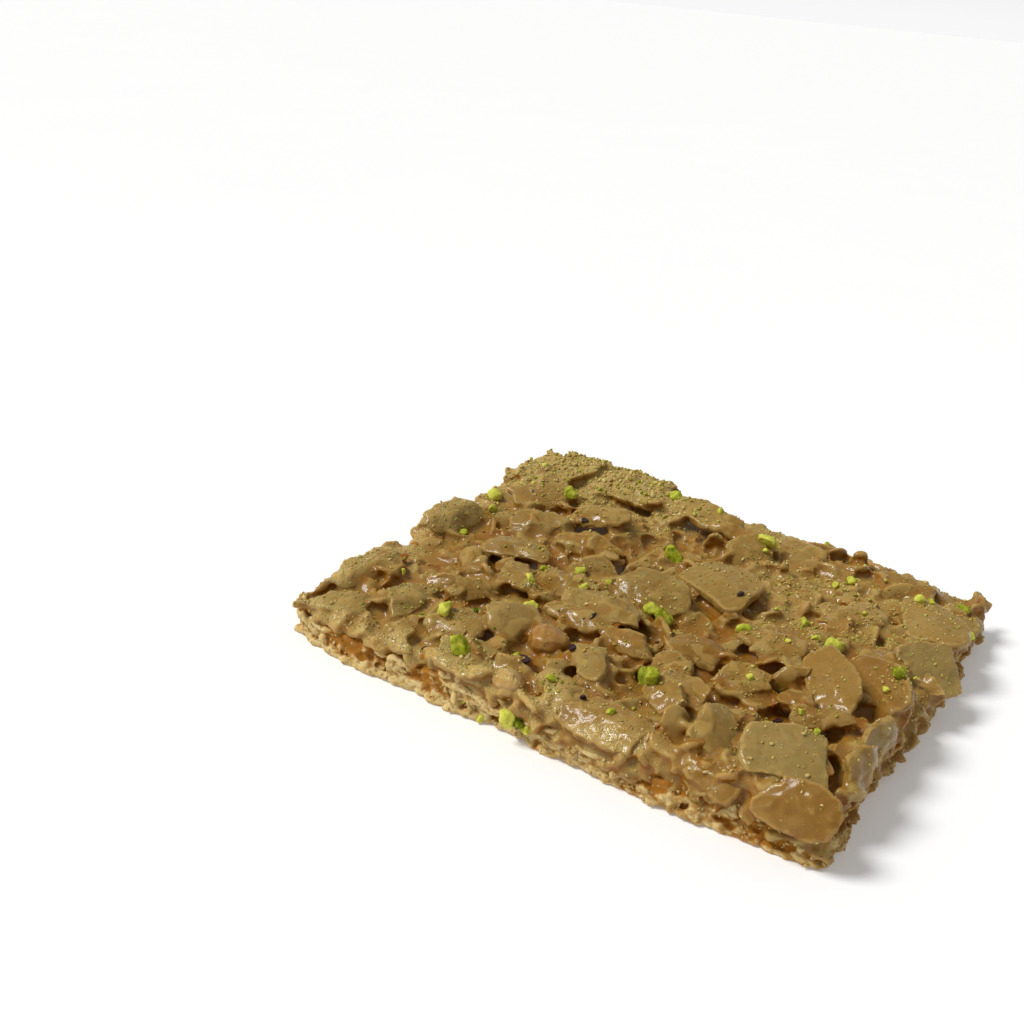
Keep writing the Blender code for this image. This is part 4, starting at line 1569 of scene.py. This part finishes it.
@dataclass
class Toppings:
    """Everything that is strewn over the slab."""

    surface: Surface
    chance_seed: int = 7
    small_nibs: int = 60
    dust_grains: int = 3200
    crumb_grains: int = 7600
    skin_flecks: int = 24

    def build(self) -> list[tuple[bpy.types.Object, bpy.types.Material, Slot]]:
        """Make the heaps.

        Returns:
            Each heap with its finish and its slot.
        """
        pistachio = CrumbFinish("chopped_pistachio", paint(70, 84, 12), paint(150, 156, 30), paint(206, 204, 84), 0.55,
                                glow_weight=0.3)
        dust = CrumbFinish("pistachio_dust", paint(142, 136, 44), paint(170, 160, 66), paint(198, 186, 96), 0.7)
        golden = CrumbFinish("golden_crumb", paint(164, 132, 66), paint(192, 164, 92), paint(214, 192, 124), 0.75)
        skin = CrumbFinish("nut_skin", paint(30, 20, 22), paint(62, 42, 44), paint(104, 84, 92), 0.5, 0.5)
        return [
            (self._nibs(), pistachio.make(), Slot.PISTACHIO),
            (self._dust("pistachio_dust", self.dust_grains, 0.3, 51), dust.make(), Slot.PISTACHIO),
            (self._dust("golden_crumbs", self.crumb_grains, 0.27, 52), golden.make(), Slot.CRUMB),
            (self._skin(), skin.make(), Slot.NUT_SKIN),
        ]

    def _place(self, chance: np.random.Generator) -> tuple[float, float]:
        """Pick a place on the slab, more often where it is dusted thickly."""
        while True:
            x = chance.uniform(CAD_LOW.x, CAD_HIGH.x) / MM
            y = chance.uniform(CAD_LOW.y, CAD_HIGH.y) / MM
            if chance.uniform() < dusting(x, y):
                return x, y

    def _nibs(self) -> bpy.types.Object:
        """Lay the chopped pistachio."""
        heap = Heap("pistachio_nibs", chopped_lumps(7, 19), self.chance_seed)
        for nib in NIBS:
            hit = self.surface.drop(nib.x, nib.y)
            if hit is not None:
                heap.add(hit[0], nib.length * 0.7, nib.tone, (hit[1] + Vector((0, 0, 1))).normalized())
        near = Vector((0.0, 1.0, 0.0))
        for x, height, length, tone in SIDE_NIBS:
            hit = self.surface.strike(Vector((x * MM, CAD_LOW.y * 1.3, height * MM)), near)
            if hit is not None:
                heap.add(hit[0], length * 0.75, tone, -near)
        for _ in range(self.small_nibs):
            x, y = self._place(heap.chance)
            hit = self.surface.drop(x, y)
            if hit is not None and hit[0].z > 4.0 * MM:
                heap.add(hit[0], heap.chance.uniform(0.7, 1.6), heap.chance.uniform(0.5, 1.0), hit[1])
        return heap.finish()

    def _dust(self, name: str, count: int, size: float, seed: int) -> bpy.types.Object:
        """Sift fine grains over the slab.

        Args:
            name: The name of the piece.
            count: How many grains there are.
            size: Their usual length in millimetres.
            seed: The seed of their places.

        Returns:
            The piece.
        """
        heap = Heap(name, ball_lumps(5), seed)
        for index in range(count):
            x, y = self._place(heap.chance)
            if index % 4 == 0:
                nib = NIBS[index // 4 % len(NIBS)]
                x = nib.x + heap.chance.normal(0, 0.4 * nib.length + 0.5)
                y = nib.y + heap.chance.normal(0, 0.4 * nib.length + 0.5)
            hit = self.surface.drop(x, y)
            if hit is not None and hit[0].z > 3.5 * MM:
                grain = size * float(np.clip(heap.chance.lognormal(0.0, 0.45), 0.45, 3.2))
                grain *= 1.0 + 0.7 * dusting(x, y)
                heap.add(hit[0], grain, heap.chance.uniform(0.1, 0.95), hit[1])
        return heap.finish()

    def _skin(self) -> bpy.types.Object:
        """Lay the dark flecks of nut skin."""
        heap = Heap("skin_flecks", broken_slices(7, 61), 90)
        for x, y, length in FLECKS:
            hit = self.surface.drop(x, y)
            if hit is not None:
                heap.add(hit[0], length * 0.9, 0.35, hit[1])
        for _ in range(self.skin_flecks):
            x, y = self._place(heap.chance)
            hit = self.surface.drop(x, y)
            if hit is not None and hit[0].z > 4.0 * MM:
                heap.add(hit[0], heap.chance.uniform(0.5, 1.3), heap.chance.uniform(0.2, 0.9), hit[1])
        return heap.finish()


@dataclass
class SideCrumbs:
    """Crumbs of pastry that cling to the cut sides and lie along the rim."""

    sheet: PastrySheet
    surface: Surface
    count: int = 1500
    top_count: int = 4200
    seed: int = 23

    def build(self) -> bpy.types.Object:
        """Stick the crumbs on, more of them low down."""
        heap = Heap("pastry_crumbs", ball_lumps(4, 2, 0.55, 20.0, 0.3) + ball_lumps(6, 1, 0.5, 30.0, 0.3), self.seed)
        for _ in range(self.count):
            share = heap.chance.uniform()
            height = min(heap.chance.gamma(2.2, 1.15) + 0.15, 7.0)
            rim = self.sheet.rim(share, min(height, 3.9))
            outward = Vector((rim.x, rim.y, 0.0)).normalized()
            start = Vector((rim.x, rim.y, height * MM)) + outward * 8 * MM
            hit = self.surface.strike(start, -outward)
            if hit is None:
                continue
            size = float(np.clip(heap.chance.lognormal(-0.75, 0.45), 0.2, 1.3))
            heap.add(hit[0], size, heap.chance.uniform(0.2, 1.0), hit[1], 0.4)
        for _ in range(self.top_count):
            rim = self.sheet.rim(heap.chance.uniform(), 3.9)
            inward = Vector((-rim.x, -rim.y)).normalized() * float(heap.chance.gamma(1.6, 1.5))
            x, y = rim.x / MM + inward.x, rim.y / MM + inward.y
            cluster = noise.noise(Vector((x, y, 8.0)) / 3.0)
            hit = self.surface.drop(x, y)
            if hit is None or heap.chance.uniform() > (1.0 - overrun(x)) * (0.45 + 1.2 * cluster):
                continue
            size = float(np.clip(heap.chance.lognormal(-1.0, 0.5), 0.2, 1.5))
            heap.add(hit[0], size, heap.chance.uniform(0.3, 1.0), hit[1], 0.45)
        return heap.finish()


# ---------------------------------------------------------------------------------------------
# The studio
# ---------------------------------------------------------------------------------------------


@dataclass
class Studio:
    """A pale table, soft light from above and the camera."""

    camera_place: tuple[float, float, float] = (76.4, -185.7, 108.4)
    azimuth: float = 30.72
    elevation: float = 23.44
    roll: float = 5.60
    lens: float = 42.56
    sensor: float = 36.0
    sky: float = 0.34
    horizon: float = 0.94
    table_size: float = 40.0

    def build(self) -> None:
        """Set everything up."""
        self._table()
        self._camera()
        self._sun("key_light", -55.0, 52.0, 20.0, 2.75)
        self._sky()
        bpy.context.scene.view_settings.view_transform = "Standard"

    def _table(self) -> None:
        """Lay the table top."""
        bpy.ops.object.select_all(action="DESELECT")
        bpy.ops.mesh.primitive_plane_add(size=self.table_size, location=(0.0, 0.0, 0.0))
        table = bpy.context.object
        table.name = "table_top"
        table.data.materials.append(TableFinish().make())
        table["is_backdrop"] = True

    def _camera(self) -> None:
        """Aim the camera along its azimuth and elevation, turned a little about its own axis."""
        around, up = math.radians(self.azimuth), math.radians(self.elevation)
        ahead = Vector((-math.sin(around) * math.cos(up), math.cos(around) * math.cos(up), -math.sin(up)))
        data = bpy.data.cameras.new("camera")
        data.lens = self.lens
        data.sensor_width = self.sensor
        data.clip_start = 0.01
        camera = bpy.data.objects.new("camera", data)
        bpy.context.scene.collection.objects.link(camera)
        camera.rotation_mode = "QUATERNION"
        camera.rotation_quaternion = ahead.to_track_quat("-Z", "Y") @ Quaternion((0, 0, 1), math.radians(self.roll))
        camera.location = Vector(self.camera_place) * MM
        bpy.context.scene.camera = camera

    def _sun(self, name: str, azimuth: float, elevation: float, width: float, strength: float) -> None:
        """Shine a far soft light.

        Args:
            name: Its name.
            azimuth: Where it comes from, by the camera's way of counting, in degrees.
            elevation: How high it stands, in degrees.
            width: How wide it looks, in degrees.
            strength: Its strength in watts per square metre.
        """
        around, up = math.radians(azimuth), math.radians(elevation)
        back = Vector((math.sin(around) * math.cos(up), -math.cos(around) * math.cos(up), math.sin(up)))
        data = bpy.data.lights.new(name, "SUN")
        data.angle = math.radians(width)
        data.energy = strength
        lamp = bpy.data.objects.new(name, data)
        bpy.context.scene.collection.objects.link(lamp)
        lamp.location = back
        lamp.rotation_mode = "QUATERNION"
        lamp.rotation_quaternion = (-back).to_track_quat("-Z", "Y")

    def _sky(self) -> None:
        """Fill the room with even white light, brightest near the horizon."""
        world = bpy.data.worlds.new("white_room")
        bpy.context.scene.world = world
        world.use_nodes = True
        tree = world.node_tree
        background = tree.nodes["Background"]
        background.inputs["Color"].default_value = (1.0, 1.0, 1.0, 1.0)
        heading = tree.nodes.new("ShaderNodeTexCoord")
        parts = tree.nodes.new("ShaderNodeSeparateXYZ")
        rise = tree.nodes.new("ShaderNodeMapRange")
        rise.interpolation_type = "SMOOTHSTEP"
        rise.inputs["From Min"].default_value = 0.0
        rise.inputs["From Max"].default_value = 0.14
        rise.inputs["To Min"].default_value = self.horizon
        rise.inputs["To Max"].default_value = self.sky
        tree.links.new(heading.outputs["Generated"], parts.inputs["Vector"])
        tree.links.new(parts.outputs["Z"], rise.inputs["Value"])
        tree.links.new(rise.outputs["Result"], background.inputs["Strength"])


# ---------------------------------------------------------------------------------------------
# All together
# ---------------------------------------------------------------------------------------------


def main() -> None:
    """Build every piece of the dressed slab and set it on the table."""
    logging.basicConfig(level=logging.INFO, format="%(name)s %(message)s")
    almonds = sorted(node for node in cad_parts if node.startswith("almond"))
    solids = Surface([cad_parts[node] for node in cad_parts])
    sheet = PastrySheet(solids)
    core, leaves = sheet.build()
    caramel_coat = CaramelCoat()
    slices = {node: CoatedSlice(node, number).build() for number, node in enumerate(almonds)}
    coat = caramel_coat.build(list(slices.values()), Splinters().build(solids, sheet), sheet)
    surface = Surface([core, leaves, coat, *slices.values()])

    pastry = PastryFinish().make()
    dress(core, pastry, Slot.PASTRY, ["pastry_base"])
    dress(leaves, pastry, Slot.PASTRY, ["pastry_base"])
    # Each coat finish darkens hollows and creases towards its deep colour as painted shade, also standing for caramel
    # pooled deeper there, and lightens ridges as a painted highlight
    caramel = CoatFinish(
        "set_caramel", paint(132, 81, 4), paint(141, 103, 35), paint(139, 108, 47), paint(152, 127, 66)
    ).make()
    almond = CoatFinish(
        "coated_almond", paint(124, 81, 11), paint(141, 104, 38), paint(140, 110, 51), paint(141, 118, 64)
    ).make()
    glazed = CoatFinish(
        "glazed_nut", paint(158, 108, 40), paint(166, 116, 50), paint(174, 129, 64), paint(186, 147, 88),
        deep=paint(136, 80, 12), dry=0.3, sheen=0.25, glaze=0.6,
    ).make()
    # Painted shade: how shut in the pastry is, which its finish turns amber
    for piece in (core, leaves):
        set_values(piece.data, "hollow_shade", np.clip((surface.shelter(piece.data) - 0.25) / 0.5, 0.0, 1.0))
    mark(coat, caramel_coat.tones(coat), surface)
    dress(coat, caramel, Slot.CARAMEL, ["caramel_nut_layer"])
    for node, piece in slices.items():
        mark(piece, values_of(piece.data, "tone"), surface)
        dress(piece, glazed if "piece" in node else almond, Slot.ALMOND, [node])
    for heap, material, slot in Toppings(surface).build():
        dress(heap, material, slot)
    crumbs = SideCrumbs(sheet, surface).build()
    crumb_finish = CrumbFinish("pastry_crumb", paint(160, 118, 58), paint(186, 154, 94), paint(206, 180, 122), 0.75)
    dress(crumbs, crumb_finish.make(), Slot.CRUMB)
    Studio().build()


if __name__ == "__main__":
    main()
